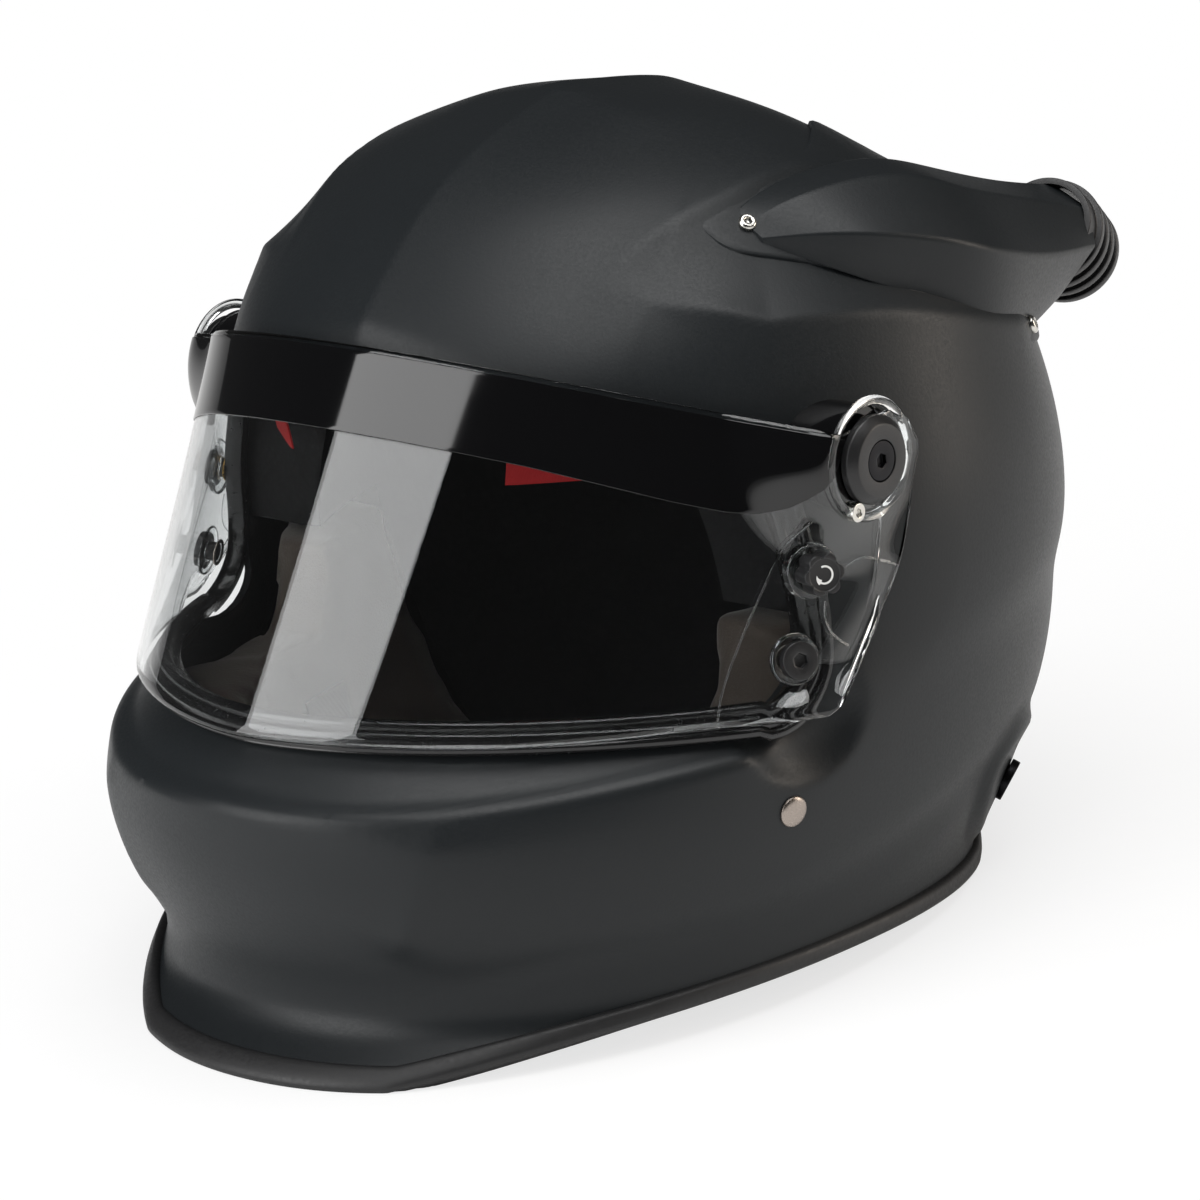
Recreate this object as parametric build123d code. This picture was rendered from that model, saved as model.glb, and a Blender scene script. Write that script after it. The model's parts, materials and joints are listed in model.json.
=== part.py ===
from build123d import *
import math
import os

os.makedirs("parts", exist_ok=True)

# Frame: +Z up, the face looks to -Y, the wearer's left is +X, the rim rests on Z = 0

# Main sizes of the shell, in mm
height = 250.0
front_reach = 172.0
half_width = 130.0
rear_reach = 165.0
wall = 2.8
fullness = 2.1

# Moves the model back so that the origin lies under the middle of its length
frame_shift = 7.0

# Clearances and the one overrun for cuts
seat_gap = 0.3
running_gap = 0.06
overrun = 30.0
foam_gap = 0.9
washer_gap = 0.4
nut_gap = 0.8

# Horizontal sections of the skin as shares of height, front_reach, half_width,
# rear_reach, for the widest place rear_reach again, and of fullness in front
skin_shares = [
    (-0.05, 1.02, 0.89, 0.66, -0.15, 1.0),
    (0.0, 1.0, 0.885, 0.667, -0.15, 1.0),
    (0.036, 0.936, 0.869, 0.69, -0.15, 1.0),
    (0.14, 0.919, 0.908, 0.85, -0.09, 1.0),
    (0.296, 0.965, 0.969, 0.948, -0.03, 1.0),
    (0.336, 0.953, 0.977, 0.947, 0.0, 0.929),
    (0.4, 0.872, 0.992, 0.945, 0.09, 0.833),
    (0.528, 0.748, 1.0, 0.92, 0.15, 0.843),
    (0.648, 0.635, 0.962, 0.874, 0.165, 0.867),
    (0.764, 0.539, 0.881, 0.783, 0.17, 0.914),
    (0.856, 0.419, 0.723, 0.613, 0.158, 0.929),
    (0.924, 0.291, 0.56, 0.465, 0.145, 0.929),
    (0.968, 0.14, 0.365, 0.32, 0.121, 0.952),
    (0.992, -0.005, 0.18, 0.155, 0.073, 0.952),
    (0.999, -0.047, 0.06, 0.103, 0.073, 0.952),
]
first_liner_row = 2
section_points = 20
lower_rows = 4

# Bottom rim: it touches the ground in front and behind and arches at the sides
rim_front = 160.0
rim_rear = 60.0
rim_bend_front = 110.0
rim_bend_rear = 30.0
rim_arch = 14.0
rim_arch_rear = 11.0

# Rubber edge trim
trim_wall = 1.8
trim_height = 6.0

# Eyeport, seen from the side
eye_rear = 35.0
eye_low = 90.0
eye_low_front = 109.0
eye_high = 163.0
eye_slope = 0.4
eye_corner = 20.0
gasket_width = 5.0
gasket_proud = 1.6

# Face shield
shield_gap = 3.8
shield_wall = 2.5
strip_wall = 0.4
opening_angle = 32.0
pivot_y = -14.8
pivot_z = 159.7
ear_radius = 17.2
ear_pocket = 14.0
ear_seat = 126.4
ear_inner = 129.9
ear_outer = 132.4
ear_rim = 18.0
skirt_angle = 60.0
shield_corner = 6.0

# Side outlines of the shield and its strip, as shares of front_reach and height
shield_share_points = [
    (-1.17, 0.995), (-0.135, 0.67), (-0.08, 0.668), (0.03, 0.596), (-0.058, 0.496),
    (-0.17, 0.394), (-0.225, 0.367), (-0.307, 0.361), (-0.442, 0.37), (-0.87, 0.392),
    (-1.17, 0.41),
]
strip_share_points = [
    (-1.17, 0.993), (-0.131, 0.668), (-0.176, 0.63), (-0.241, 0.6), (-0.27, 0.602),
    (-0.355, 0.624), (-0.49, 0.676), (-1.17, 0.885),
]

# Pivot stack
base_radius = 13.0
hub_radius = 6.0
cap_radius = 15.5
cap_height = 4.6
cap_chamfer = 1.6
screw_radius = 5.4
screw_height = 1.4
hex_flats = 4.0
nut_depth = 3.0
nut_lean = 3.2
pivot_nut_radius = 7.5

# Shield lock knob and tear-off posts
knob_y = -34.3
knob_z = 130.8
knob_radius = 6.4
knob_height = 7.5
knob_lobes = 6
lobe_radius = 1.8
boss_radius = 8.0
boss_height = 3.0
shaft_radius = 3.0
post_y = -43.8
post_z = 105.7
post_radius = 5.6
post_height = 3.0
post_ring_radius = 7.4
post_ring_height = 2.2
washer_radius = 4.2
washer_height = 0.5

# Foam and fabric
liner_foam = 30.0
comfort_foam = 8.0
cheek_foam = 37.0
chin_foam = 17.0
pad_cover = 5.0
foam_margin = 3.0
temple_low = 112.0
cheek_front = 102.0
cheek_lean = 8.0
cheek_rear_top = 8.0
cheek_rear_low = 24.0
cheek_low = 25.0
liner_low = 21.5
brow_height = 26.0
tab_drop = 16.0
tab_inset = 7.0
tab_wall = 1.2
tab_inner = 48.0
tab_width = 28.0

# Neck roll
roll_radius = 7.0
roll_row = 2
roll_level = 13.0
roll_points = 9
roll_start_share = 0.55

# Chin straps
strap_width = 22.0
strap_thickness = 1.8
rivet_radius = 4.75
rivet_head = 1.5
rivet_y = -52.8
rivet_z = 62.3
ring_wire = 1.6
strap_gap = 1.8

# Restraint anchors behind each ear
anchor_y = 68.7
anchor_z = 28.1
anchor_pad_radius = 18.0
anchor_pad_height = 3.0
anchor_pad_taper = 8.0
anchor_radius = 6.6
anchor_proud = 1.6
anchor_bore = 3.0
anchor_depth = 9.0
anchor_nut_radius = 9.0
anchor_nut_wall = 2.4

# Forced air duct on the wearer's left, in places of the helmet frame
duct_flange_wall = 2.0
duct_wall = 2.4
duct_end = (84.8, 131.0, 184.8)
duct_axis = (-0.32, 0.745, -0.58)
spout_length = 25.0
spout_radius = 14.6
spout_bore = 12.5
spout_ribs = 4
rib_radius = 16.5
rib_width = 3.0
duct_screw_radius = 2.8
duct_screw_height = 1.6
port_radius = 11.0
port_y_share = 0.3
port_z_share = 0.76
channel_radius = 8.0

# Corners of the duct's sections, as shares of half_width, rear_reach and height
duct_share_sections = [
    [(0.68, -0.03, 0.868), (0.68, -0.03, 0.876), (0.64, -0.03, 0.89),
     (0.6, -0.03, 0.902), (0.59, -0.03, 0.89)],
    [(0.81, 0.07, 0.82), (0.81, 0.065, 0.872), (0.7, 0.06, 0.912),
     (0.62, 0.07, 0.922), (0.57, 0.08, 0.89)],
    [(0.87, 0.18, 0.775), (0.9, 0.18, 0.852), (0.77, 0.23, 0.912),
     (0.66, 0.24, 0.922), (0.5, 0.24, 0.9)],
    [(0.9, 0.33, 0.71), (0.955, 0.335, 0.812), (0.82, 0.39, 0.872),
     (0.68, 0.42, 0.886), (0.47, 0.4, 0.86)],
    [(0.83, 0.52, 0.66), (0.86, 0.6, 0.75), (0.76, 0.65, 0.806),
     (0.64, 0.68, 0.818), (0.48, 0.61, 0.78)],
]
flange_share_points = [
    (0.585, -0.105, 0.9), (0.6, 0.1, 0.92), (0.52, 0.3, 0.93), (0.4, 0.42, 0.92),
    (0.4, 0.58, 0.86), (0.6, 0.66, 0.74), (0.86, 0.6, 0.64), (0.9, 0.51, 0.65),
    (0.91, 0.35, 0.71), (0.9, 0.22, 0.755), (0.845, 0.127, 0.8), (0.78, 0.03, 0.835),
    (0.7, -0.09, 0.865),
]
screw_share_places = [(-0.024, 0.884), (0.53, 0.67)]
duct_end_shares = [(0.55, 1.05), (1.17, 0.1), (0.62, -1.0), (-0.55, -1.02), (-1.15, 0.15)]

def row_sizes(share):
    """Height, front, half width, rear and middle of one section, in mm, and its fullness"""
    level, front, width, rear, middle, full = share
    return (level * height, front * front_reach, width * half_width,
            rear * rear_reach, middle * rear_reach, full * fullness)


def slopes(rows, k):
    """How far front, width and rear of the skin grow per mm of height at row k"""
    low = rows[max(k - 1, 0)]
    high = rows[min(k + 1, len(rows) - 1)]
    rise = high[0] - low[0]
    return [(high[i] - low[i]) / rise for i in (1, 2, 3)]


def inset_row(rows, k, inset):
    """Row k moved inwards at right angles to the skin by inset"""
    level, front, width, rear, middle, full = rows[k]
    front_slope, side_slope, rear_slope = slopes(rows, k)
    drop = -side_slope / math.hypot(1, side_slope) * inset
    moved = []
    for reach, slope in ((front, front_slope), (width, side_slope), (rear, rear_slope)):
        moved.append(reach - inset * math.hypot(1, slope) - drop * slope)
    return (level - drop, moved[0], moved[1], moved[2], middle, full)


def ring_point(row, turn, level):
    """Place on one level of the skin at a turn counted from the face"""
    front, width, rear, middle, full = row[1:]
    full = full if math.cos(turn) > 0 else fullness
    across = math.copysign(abs(math.sin(turn)) ** (2 / full), math.sin(turn))
    along = math.copysign(abs(math.cos(turn)) ** (2 / full), math.cos(turn))
    reach = front + middle if along > 0 else rear - middle
    return (width * across, middle - reach * along, level)


def section(row):
    """Closed smooth outline of one level of the skin"""
    turns = [2 * math.pi * k / section_points for k in range(section_points)]
    points = [ring_point(row, turn, row[0]) for turn in turns]
    return Wire([Spline(*points, periodic=True)])


def skin(inset, first=0, gap=0.0):
    """Solid inside the shell's outer skin, moved inwards by inset and then made smaller by gap"""
    rows = [row_sizes(share) for share in skin_shares]
    moved = [inset_row(rows, k, inset) for k in range(first, len(rows))]
    moved = [row for row in moved if row[1] + row[4] > wall]
    if first:
        lowest = moved[0]
        for k in range(1, lower_rows + 1):
            moved.insert(0, (lowest[0] - k * overrun / 2,) + lowest[1:])
    if gap:
        moved = [(level * (1 - gap / height), front - gap, width - gap, rear - gap, *rest)
                 for level, front, width, rear, *rest in moved]
    return Solid.make_loft([section(row) for row in moved])


def skin_hit(y, z, inset=0.0):
    """Place and outward direction of the left side of the skin, seen from the side"""
    key = (y, z, inset)
    if key not in hits:
        line = Axis((half_width + overrun, y, z), (-1, 0, 0))
        found = shared_skin(inset).find_intersection_points(line)
        hits[key] = max(found, key=lambda hit: hit[0].X)
    return hits[key]


def side_plane(y, z, outset, side=1):
    """Plane on the skin moved outwards, with its Z pointing out of the helmet"""
    place, normal = skin_hit(y, z)
    place = place + normal * outset
    return Plane(origin=(side * place.X, place.Y, place.Z),
                 x_dir=(0, 0, 1),
                 z_dir=(side * normal.X, normal.Y, normal.Z))


def through(sketch, start=None, stop=None):
    """Sketch drawn from the side (local X = Y, local Y = Z) run across the helmet"""
    start = -half_width - overrun if start is None else start
    stop = half_width + overrun if stop is None else stop
    return extrude(Plane.YZ.offset(start) * sketch, stop - start)


def outline(points, radius=0.0):
    """Closed side outline with its corners rounded"""
    face = make_face(Polyline(*points, close=True))
    if radius:
        face = fillet(face.vertices(), radius)
    return face


def above_rim(lift):
    """Everything above the rim line moved up by lift"""
    far_front = -front_reach - overrun
    far_rear = rear_reach + overrun
    arch = Bezier((-rim_front, lift), (-rim_bend_front, lift + rim_arch),
                  (-rim_bend_rear, lift + rim_arch_rear), (rim_rear, lift))
    edges = [
        Line((far_front, lift), (-rim_front, lift)),
        arch,
        Line((rim_rear, lift), (far_rear, lift)),
        Line((far_rear, lift), (far_rear, height + overrun)),
        Line((far_rear, height + overrun), (far_front, height + overrun)),
        Line((far_front, height + overrun), (far_front, lift)),
    ]
    return through(make_face(Wire(edges)))


def eyeport_outline(shrink=0.0):
    """Side view of the eyeport, open to the front"""
    far = -front_reach - overrun
    rise = (front_reach + overrun - eye_rear) * eye_slope
    face = outline([(far, eye_low_front), (-eye_rear, eye_low),
                    (-eye_rear, eye_high), (far, eye_high + rise)], eye_corner)
    if shrink:
        face = offset(face, -shrink, kind=Kind.ARC)
    return face


# Skins and places on them, shared by the pieces
skins = {}
hits = {}


def shared_skin(inset, first=0, gap=0.0):
    """Skin made once for each inset and gap"""
    key = (round(inset, 3), first, gap)
    if key not in skins:
        skins[key] = skin(inset, first, gap)
    return skins[key]


def save(name, shape):
    """Write one node"""
    export_step(Pos(0, frame_shift, 0) * shape, "parts/" + name + ".step")


def mirrored(shape):
    """The wearer's right copy of a left piece"""
    return mirror(shape, Plane.YZ)


def layer(outer, inner, zone, first=0, gap=0.0, inner_gap=0.0):
    """The part of a zone between two insets of the skin, each made smaller by its gap"""
    outer_first = first if outer > 2 * wall else 0
    return (zone & shared_skin(outer, outer_first, gap)) - shared_skin(inner, first, inner_gap)


def side_disc(y, z, radius, start, stop):
    """Cylinder along X with its centre at y and z"""
    return through(Pos(y, z) * Circle(radius), start, stop)


def anchor_pad(side=1):
    """Raised round pad that carries the restraint anchor"""
    plane = side_plane(anchor_y, anchor_z, anchor_pad_height, side)
    cone = Cone(anchor_pad_radius + anchor_pad_taper, anchor_pad_radius,
                anchor_pad_height + wall, align=(Align.CENTER, Align.CENTER, Align.MAX))
    return plane * cone


def anchor_hole(side=1):
    """Threaded hole of the restraint anchor through pad and shell"""
    plane = side_plane(anchor_y, anchor_z, anchor_pad_height, side)
    return plane * Cylinder(anchor_bore + seat_gap, 2 * overrun)


def rivet_hole(side=1):
    """Hole of a chin strap rivet"""
    return side_plane(rivet_y, rivet_z, 0, side) * Cylinder(ring_wire, overrun)


def duct_plane():
    """Plane of the duct's round mouth, Z along the spout"""
    axis = Vector(*duct_axis).normalized()
    across = Vector(axis.Y, -axis.X, 0).normalized()
    return Plane(origin=duct_end, x_dir=across, z_dir=axis)


def duct_port(radius):
    """Air passage from the duct through the shell and the foam"""
    y = port_y_share * rear_reach
    z = port_z_share * height
    return side_plane(y, z, 0) * Cylinder(radius, 4 * overrun)


def outer_shell():
    """Hard shell: skin, open neck, eyeport, anchor pads and holes"""
    zone = above_rim(trim_wall + seat_gap) - through(eyeport_outline())
    body = layer(0, wall, zone)
    room = above_rim(trim_height + seat_gap)
    pads = [(anchor_pad(side) & room) - shared_skin(wall) for side in (1, -1)]
    body = body + pads
    holes = [duct_port(port_radius)]
    for y, z in duct_screw_places():
        holes.append(side_plane(y, z, 0) * Cylinder(ring_wire, overrun))
    for side in (1, -1):
        holes.append(anchor_hole(side))
        holes.append(rivet_hole(side))
        holes.append(side_disc(pivot_y, pivot_z, shaft_radius + seat_gap,
                               side * ear_pocket, side * (half_width + overrun)))
    return body - holes


def edge_trim():
    """Rubber beading with a slot that takes the shell's lower edge"""
    band = above_rim(0) - above_rim(trim_height)
    rubber = layer(-seat_gap - trim_wall, wall + seat_gap + trim_wall, band)
    slot = layer(0, wall, above_rim(trim_wall), gap=-seat_gap, inner_gap=seat_gap)
    return rubber - slot


def eyeport_gasket():
    """Rubber frame pressed into the edge of the eyeport"""
    zone = through(eyeport_outline(seat_gap)) - through(eyeport_outline(gasket_width))
    return layer(-gasket_proud, wall + gasket_proud, zone)


def eye_line(y, lift):
    """Height of the eyeport's upper edge at a place, moved up by lift"""
    return eye_high + eye_slope * (-eye_rear - y) + lift


def liner_zone():
    """Side view of the space of the crown liner"""
    far_front = -front_reach - overrun
    far_rear = rear_reach + overrun
    corner = -eye_rear + foam_margin
    return outline([(far_front, eye_line(far_front, foam_margin)),
                    (corner, eye_line(corner, foam_margin)),
                    (corner, temple_low + foam_margin),
                    (cheek_rear_top, temple_low + foam_margin),
                    (cheek_rear_low, liner_low),
                    (far_rear, liner_low),
                    (far_rear, height + overrun),
                    (far_front, height + overrun)])


def cheek_outline():
    """Side view of a cheek pad, below the eyeport and in front of the liner"""
    front_low = cheek_front - cheek_lean
    return outline([(-cheek_front, eye_low - 2 * foam_margin),
                    (-eye_rear - foam_margin, eye_low - 2 * foam_margin),
                    (-eye_rear + foam_margin, temple_low),
                    (cheek_rear_top - foam_margin, temple_low),
                    (cheek_rear_low - foam_margin, cheek_low),
                    (-front_low, cheek_low)], foam_margin)


def chin_outline(margin=0.0):
    """Side view of the foam behind the chin bar"""
    far_front = -front_reach - overrun
    return outline([(far_front, cheek_low + margin),
                    (far_front, eye_low - 2 * foam_margin - margin),
                    (-cheek_front - foam_margin, eye_low - 2 * foam_margin - margin),
                    (-cheek_front - foam_margin + cheek_lean, cheek_low + margin)])


def nut_room(y, z, outset, radius, side):
    """Room in the foam for a nut or rivet tail behind the shell"""
    return side_plane(y, z, outset, side) * Cylinder(radius, 4 * nut_depth)


def crown_liner():
    """Energy absorbing foam of the crown, back and temples"""
    foam = layer(wall, wall + liner_foam, through(liner_zone()), first_liner_row, foam_gap)
    for side in (1, -1):
        foam -= nut_room(anchor_y, anchor_z, -wall, anchor_nut_radius + seat_gap, side)
        foam -= side_disc(pivot_y, pivot_z, pivot_nut_radius + seat_gap,
                          side * (ear_seat - 2 * base_radius), side * ear_seat)
    return foam - duct_port(channel_radius)


def comfort_zone():
    """Side view of the fabric crown pad"""
    far_front = -front_reach - overrun
    far_rear = rear_reach + overrun
    corner = -eye_rear + 2 * foam_margin
    return outline([(far_front, eye_line(far_front, brow_height)),
                    (corner, eye_line(corner, brow_height)),
                    (far_rear, eye_line(corner, 0)),
                    (far_rear, height + overrun),
                    (far_front, height + overrun)])


def crown_pad():
    """Fabric covered comfort pad inside the crown"""
    outer = wall + liner_foam
    return layer(outer, outer + comfort_foam, through(comfort_zone()), first_liner_row, seat_gap)


def brow_pad():
    """Fabric covered pad across the forehead, just above the eyeport"""
    far_front = -front_reach - overrun
    corner = -eye_rear + 2 * foam_margin
    low = 2 * foam_margin
    high = brow_height - seat_gap
    zone = outline([(far_front, eye_line(far_front, low)), (corner, eye_line(corner, low)),
                    (corner, eye_line(corner, high)), (far_front, eye_line(far_front, high))])
    outer = wall + liner_foam
    return layer(outer, outer + comfort_foam, through(zone), first_liner_row, seat_gap)


def pull_tabs():
    """Two ribbon tabs that hang below the brow liner"""
    far_front = -front_reach - overrun
    zone = outline([(far_front, eye_line(far_front, -tab_drop)),
                    (-eye_rear, eye_line(-eye_rear, -tab_drop)),
                    (-eye_rear, eye_line(-eye_rear, foam_margin - seat_gap)),
                    (far_front, eye_line(far_front, foam_margin - seat_gap))])
    left = layer(tab_inset, tab_inset + tab_wall,
                 through(zone, tab_inner, tab_inner + tab_width), first_liner_row)
    return left + mirrored(left)


def cheek_pad():
    """Cheek pad with its strap channel"""
    half = through(cheek_outline(), 0)
    pad = layer(wall, wall + cheek_foam, half, first_liner_row, foam_gap)
    pad -= strap_solid(seat_gap)
    return pad - nut_room(rivet_y, rivet_z, -wall, rivet_radius + seat_gap, 1)


def chin_bar_foam():
    """Foam block behind the chin bar"""
    return layer(wall, wall + chin_foam, through(chin_outline()), first_liner_row, foam_gap)


def chin_pad():
    """Fabric cover on the chin bar foam"""
    outer = wall + chin_foam
    zone = through(chin_outline(foam_margin))
    return layer(outer, outer + pad_cover, zone, first_liner_row, seat_gap)


def neck_roll():
    """Padded roll round the back of the neck opening"""
    row = inset_row([row_sizes(share) for share in skin_shares], roll_row,
                    wall + 2 * seat_gap + trim_wall + roll_radius)
    points = []
    for k in range(roll_points):
        turn = math.pi * (roll_start_share + (2 - 2 * roll_start_share) * k / (roll_points - 1))
        points.append(ring_point(row, turn, roll_level))
    path = Edge.make_spline([Vector(*p) for p in points])
    plane = Plane(origin=path @ 0, z_dir=path % 0)
    return sweep(plane * Circle(roll_radius), path=path)


def strap_solid(grow=0.0):
    """Webbing from the rivet, under the cheek pad and up along its inner face"""
    near = -wall - strap_gap
    deep = near - cheek_foam - strap_gap
    top = rivet_radius + strap_gap
    low = -(rivet_z - cheek_low) - strap_gap
    middle = low - strap_gap
    line = [(top, near), (-top, near - strap_gap), (low, near - 4 * strap_gap),
            (middle, near - 5 * strap_gap), (middle, deep), (low, deep - strap_gap),
            (-strap_gap, deep - strap_gap)]
    face = trace(Polyline(*line), strap_thickness + 2 * grow)
    plane = side_plane(rivet_y, rivet_z, 0)
    half = strap_width / 2 + grow
    flat = Plane(origin=plane.origin + plane.y_dir * half, x_dir=plane.x_dir,
                 z_dir=-plane.y_dir)
    band = extrude(flat * face, strap_width + 2 * grow)
    return band - plane * Cylinder(ring_wire, overrun)


def rivet():
    """Chin strap rivet: domed head outside, washer inside"""
    plane = side_plane(rivet_y, rivet_z, 0)
    head = Pos(0, 0, rivet_head / 2 + running_gap) * Cylinder(rivet_radius, rivet_head)
    head = chamfer(head.edges().filter_by(GeomType.CIRCLE).sort_by(Axis.Z)[-1], rivet_head / 2)
    depth = wall + strap_gap + strap_thickness
    shank = Pos(0, 0, -depth / 2 + running_gap) * Cylinder(ring_wire - running_gap, depth)
    return plane * (head + shank)


def anchor_plug():
    """Threaded post cap of the head restraint anchor with a hex socket"""
    plane = side_plane(anchor_y, anchor_z, anchor_pad_height)
    head = Pos(0, 0, anchor_proud / 2) * Cylinder(anchor_radius, anchor_proud)
    shank = Pos(0, 0, -anchor_depth / 2) * Cylinder(anchor_bore, anchor_depth)
    socket = Pos(0, 0, anchor_proud / 2) * extrude(RegularPolygon(hex_flats / 2, 6), anchor_proud)
    return plane * (head + shank - socket)


def anchor_nut():
    """Threaded plate behind the shell that takes the anchor"""
    plane = side_plane(anchor_y, anchor_z, -wall - nut_lean - anchor_nut_wall / 2)
    plate = Cylinder(anchor_nut_radius, anchor_nut_wall)
    return plane * (plate - Cylinder(anchor_bore + running_gap, 2 * anchor_nut_wall))


def pivot_base():
    """Plate and hub between the shell and the shield's ear"""
    plate = side_disc(pivot_y, pivot_z, base_radius, ear_seat - 2 * base_radius,
                      ear_inner - seat_gap)
    hub = side_disc(pivot_y, pivot_z, hub_radius, ear_seat, ear_outer + seat_gap)
    bore = side_disc(pivot_y, pivot_z, shaft_radius + running_gap, 0, ear_outer + overrun)
    return plate + hub - shared_skin(0, 0, -seat_gap) - bore


def pivot_cap():
    """Round chamfered cap that holds the shield's ear"""
    start = ear_outer + seat_gap
    cap = side_disc(pivot_y, pivot_z, cap_radius, start, start + cap_height)
    cap = chamfer(cap.faces().sort_by(Axis.X)[-1].edges(), cap_chamfer)
    sink = side_disc(pivot_y, pivot_z, screw_radius + running_gap,
                     start + cap_height - screw_height, start + 2 * cap_height)
    bore = side_disc(pivot_y, pivot_z, shaft_radius + running_gap, start - wall, start + overrun)
    return cap - sink - bore


def pivot_screw():
    """Pivot screw with a hex socket"""
    top = ear_outer + seat_gap + cap_height
    head = side_disc(pivot_y, pivot_z, screw_radius, top - screw_height, top)
    inner = skin_hit(pivot_y, pivot_z)[0].X - wall - nut_depth
    shank = side_disc(pivot_y, pivot_z, shaft_radius, inner, top - screw_height)
    socket = through(Pos(pivot_y, pivot_z) * RegularPolygon(hex_flats / 2, 6),
                     top - screw_height, top + screw_height)
    return head + shank - socket


def pivot_nut():
    """Nut of the pivot screw behind the shell"""
    top = skin_hit(pivot_y, pivot_z, wall)[0].X - 2 * seat_gap - nut_lean
    nut = side_disc(pivot_y, pivot_z, pivot_nut_radius, top - nut_depth, top)
    return nut - side_disc(pivot_y, pivot_z, shaft_radius + running_gap, 0, top + wall)


def shield_outline():
    """Side view of the face shield, open to the front"""
    points = [(y * front_reach, z * height) for y, z in shield_share_points]
    lens = outline(points, shield_corner)
    return lens + Pos(pivot_y, pivot_z) * Circle(ear_radius)


def ear(side=1):
    """Dished ear of the shield round the pivot, cut away where the skin bulges"""
    deep = ear_seat - 2 * base_radius
    ring = side_disc(pivot_y, pivot_z, ear_rim, side * deep, side * ear_outer)
    pocket = side_disc(pivot_y, pivot_z, ear_pocket, side * (deep - wall), side * ear_inner)
    upper = Pos(pivot_y, pivot_z) * Rot(0, 0, skirt_angle) * Pos(2 * ear_radius, 0)
    relief = through(upper * Rectangle(4 * ear_radius, 8 * ear_radius), side * (deep - wall),
                     side * ear_seat)
    return ring - pocket - relief - shared_skin(-shield_gap)


def lens_plane(y, z, side=1):
    """Plane on the outer face of the lens"""
    return side_plane(y, z, shield_gap + shield_wall, side)


def lens_boss(y, z, radius, boss, side):
    """Moulded round boss on the outer face of the lens"""
    root = shield_wall / 2
    solid = Cylinder(radius, boss + root, align=(Align.CENTER, Align.CENTER, Align.MIN))
    return lens_plane(y, z, side) * Pos(0, 0, -root) * solid


def shield_lens():
    """Clear polycarbonate lens with its two ears and moulded bosses"""
    zone = through(shield_outline())
    zone -= side_disc(pivot_y, pivot_z, ear_pocket, -ear_outer, ear_outer)
    lens = layer(-shield_gap - shield_wall, -shield_gap, zone)
    added = []
    holes = []
    for side in (1, -1):
        added.append(ear(side))
        added.append(lens_boss(knob_y, knob_z, boss_radius, boss_height, side))
        added.append(lens_boss(post_y, post_z, post_ring_radius, post_ring_height, side))
        for y, z in ((knob_y, knob_z), (post_y, post_z)):
            holes.append(lens_plane(y, z, side) * Cylinder(shaft_radius + running_gap, overrun))
        holes.append(side_disc(pivot_y, pivot_z, hub_radius + running_gap,
                               side * ear_pocket, side * (ear_outer + overrun)))
        holes.append(side_disc(pivot_y, pivot_z, cap_radius + seat_gap,
                               side * ear_outer, side * (ear_outer + overrun)))
    return lens + added - holes


def sun_strip():
    """Opaque band along the top of the lens"""
    points = [(y * front_reach, z * height) for y, z in strip_share_points]
    start = shield_gap + shield_wall + seat_gap
    zone = through(outline(points))
    zone -= side_disc(pivot_y, pivot_z, ear_rim + seat_gap, -ear_outer, ear_outer)
    return layer(-start - strip_wall, -start, zone)


def lock_knob():
    """Lobed knob of the shield lock with its shaft and retaining ring"""
    face = Circle(knob_radius)
    for k in range(knob_lobes):
        face -= Rot(0, 0, 360 * k / knob_lobes) * Pos(knob_radius + lobe_radius / 2, 0) * Circle(
            lobe_radius)
    head = Pos(0, 0, boss_height + seat_gap) * extrude(face, knob_height)
    tail = shield_wall + washer_gap + washer_height
    length = tail + boss_height + knob_height
    shank = Pos(0, 0, length / 2 - tail) * Cylinder(shaft_radius, length)
    ring = Pos(0, 0, washer_height / 2 - tail) * Cylinder(washer_radius, washer_height)
    return lens_plane(knob_y, knob_z) * (head + shank + ring)


def tear_off_post(y, z, base, side):
    """Button that tear-off films hook on, with its shaft through the lens"""
    button = Pos(0, 0, base + seat_gap + post_height / 2) * Cylinder(post_radius, post_height)
    tail = shield_wall + nut_gap + washer_height
    length = tail + base + seat_gap
    shank = Pos(0, 0, length / 2 - tail) * Cylinder(shaft_radius, length)
    socket = Pos(0, 0, base + seat_gap + post_height / 2) * extrude(
        RegularPolygon(hex_flats / 2, 6), post_height)
    return lens_plane(y, z, side) * (button + shank - socket)


def post_nut(y, z, side):
    """Flat nut of a post behind the lens"""
    tail = shield_wall + nut_gap + washer_height
    ring = Pos(0, 0, washer_height / 2 - tail) * Cylinder(washer_radius, washer_height)
    return lens_plane(y, z, side) * (ring - Cylinder(shaft_radius + running_gap, overrun))


def duct_points(shares):
    """Corners of one section of the duct in the helmet's frame"""
    return [(x * half_width, y * rear_reach, z * height) for x, y, z in shares]


def duct_body(inset=0.0):
    """Faceted hood of the duct, lofted between its sections"""
    loops = [duct_points(shares) for shares in duct_share_sections]
    mouth = duct_plane()
    radius = rib_radius - inset
    end = [mouth.from_local_coords(Vector(a * radius, b * radius, 0))
           for a, b in duct_end_shares]
    wires = []
    for loop in loops:
        middle = sum((Vector(*p) for p in loop), Vector()) / len(loop)
        corners = []
        for p in loop:
            arm = Vector(*p) - middle
            corners.append(middle + arm * max(1 - inset / arm.length, 0.1))
        wires.append(Wire.make_polygon(corners, close=True))
    wires.append(Wire.make_polygon(end, close=True))
    return Solid.make_loft(wires, ruled=True)


def duct_flange_zone():
    """Space over the duct's screw flange"""
    points = [Vector(*p) for p in duct_points(flange_share_points)]
    plane = side_plane(port_y_share * rear_reach, port_z_share * height, 0)
    flat = [plane.to_local_coords(p) for p in points]
    face = outline([(p.X, p.Y) for p in flat], foam_margin)
    return extrude(plane.offset(-overrun) * face, 2 * overrun)


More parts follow.
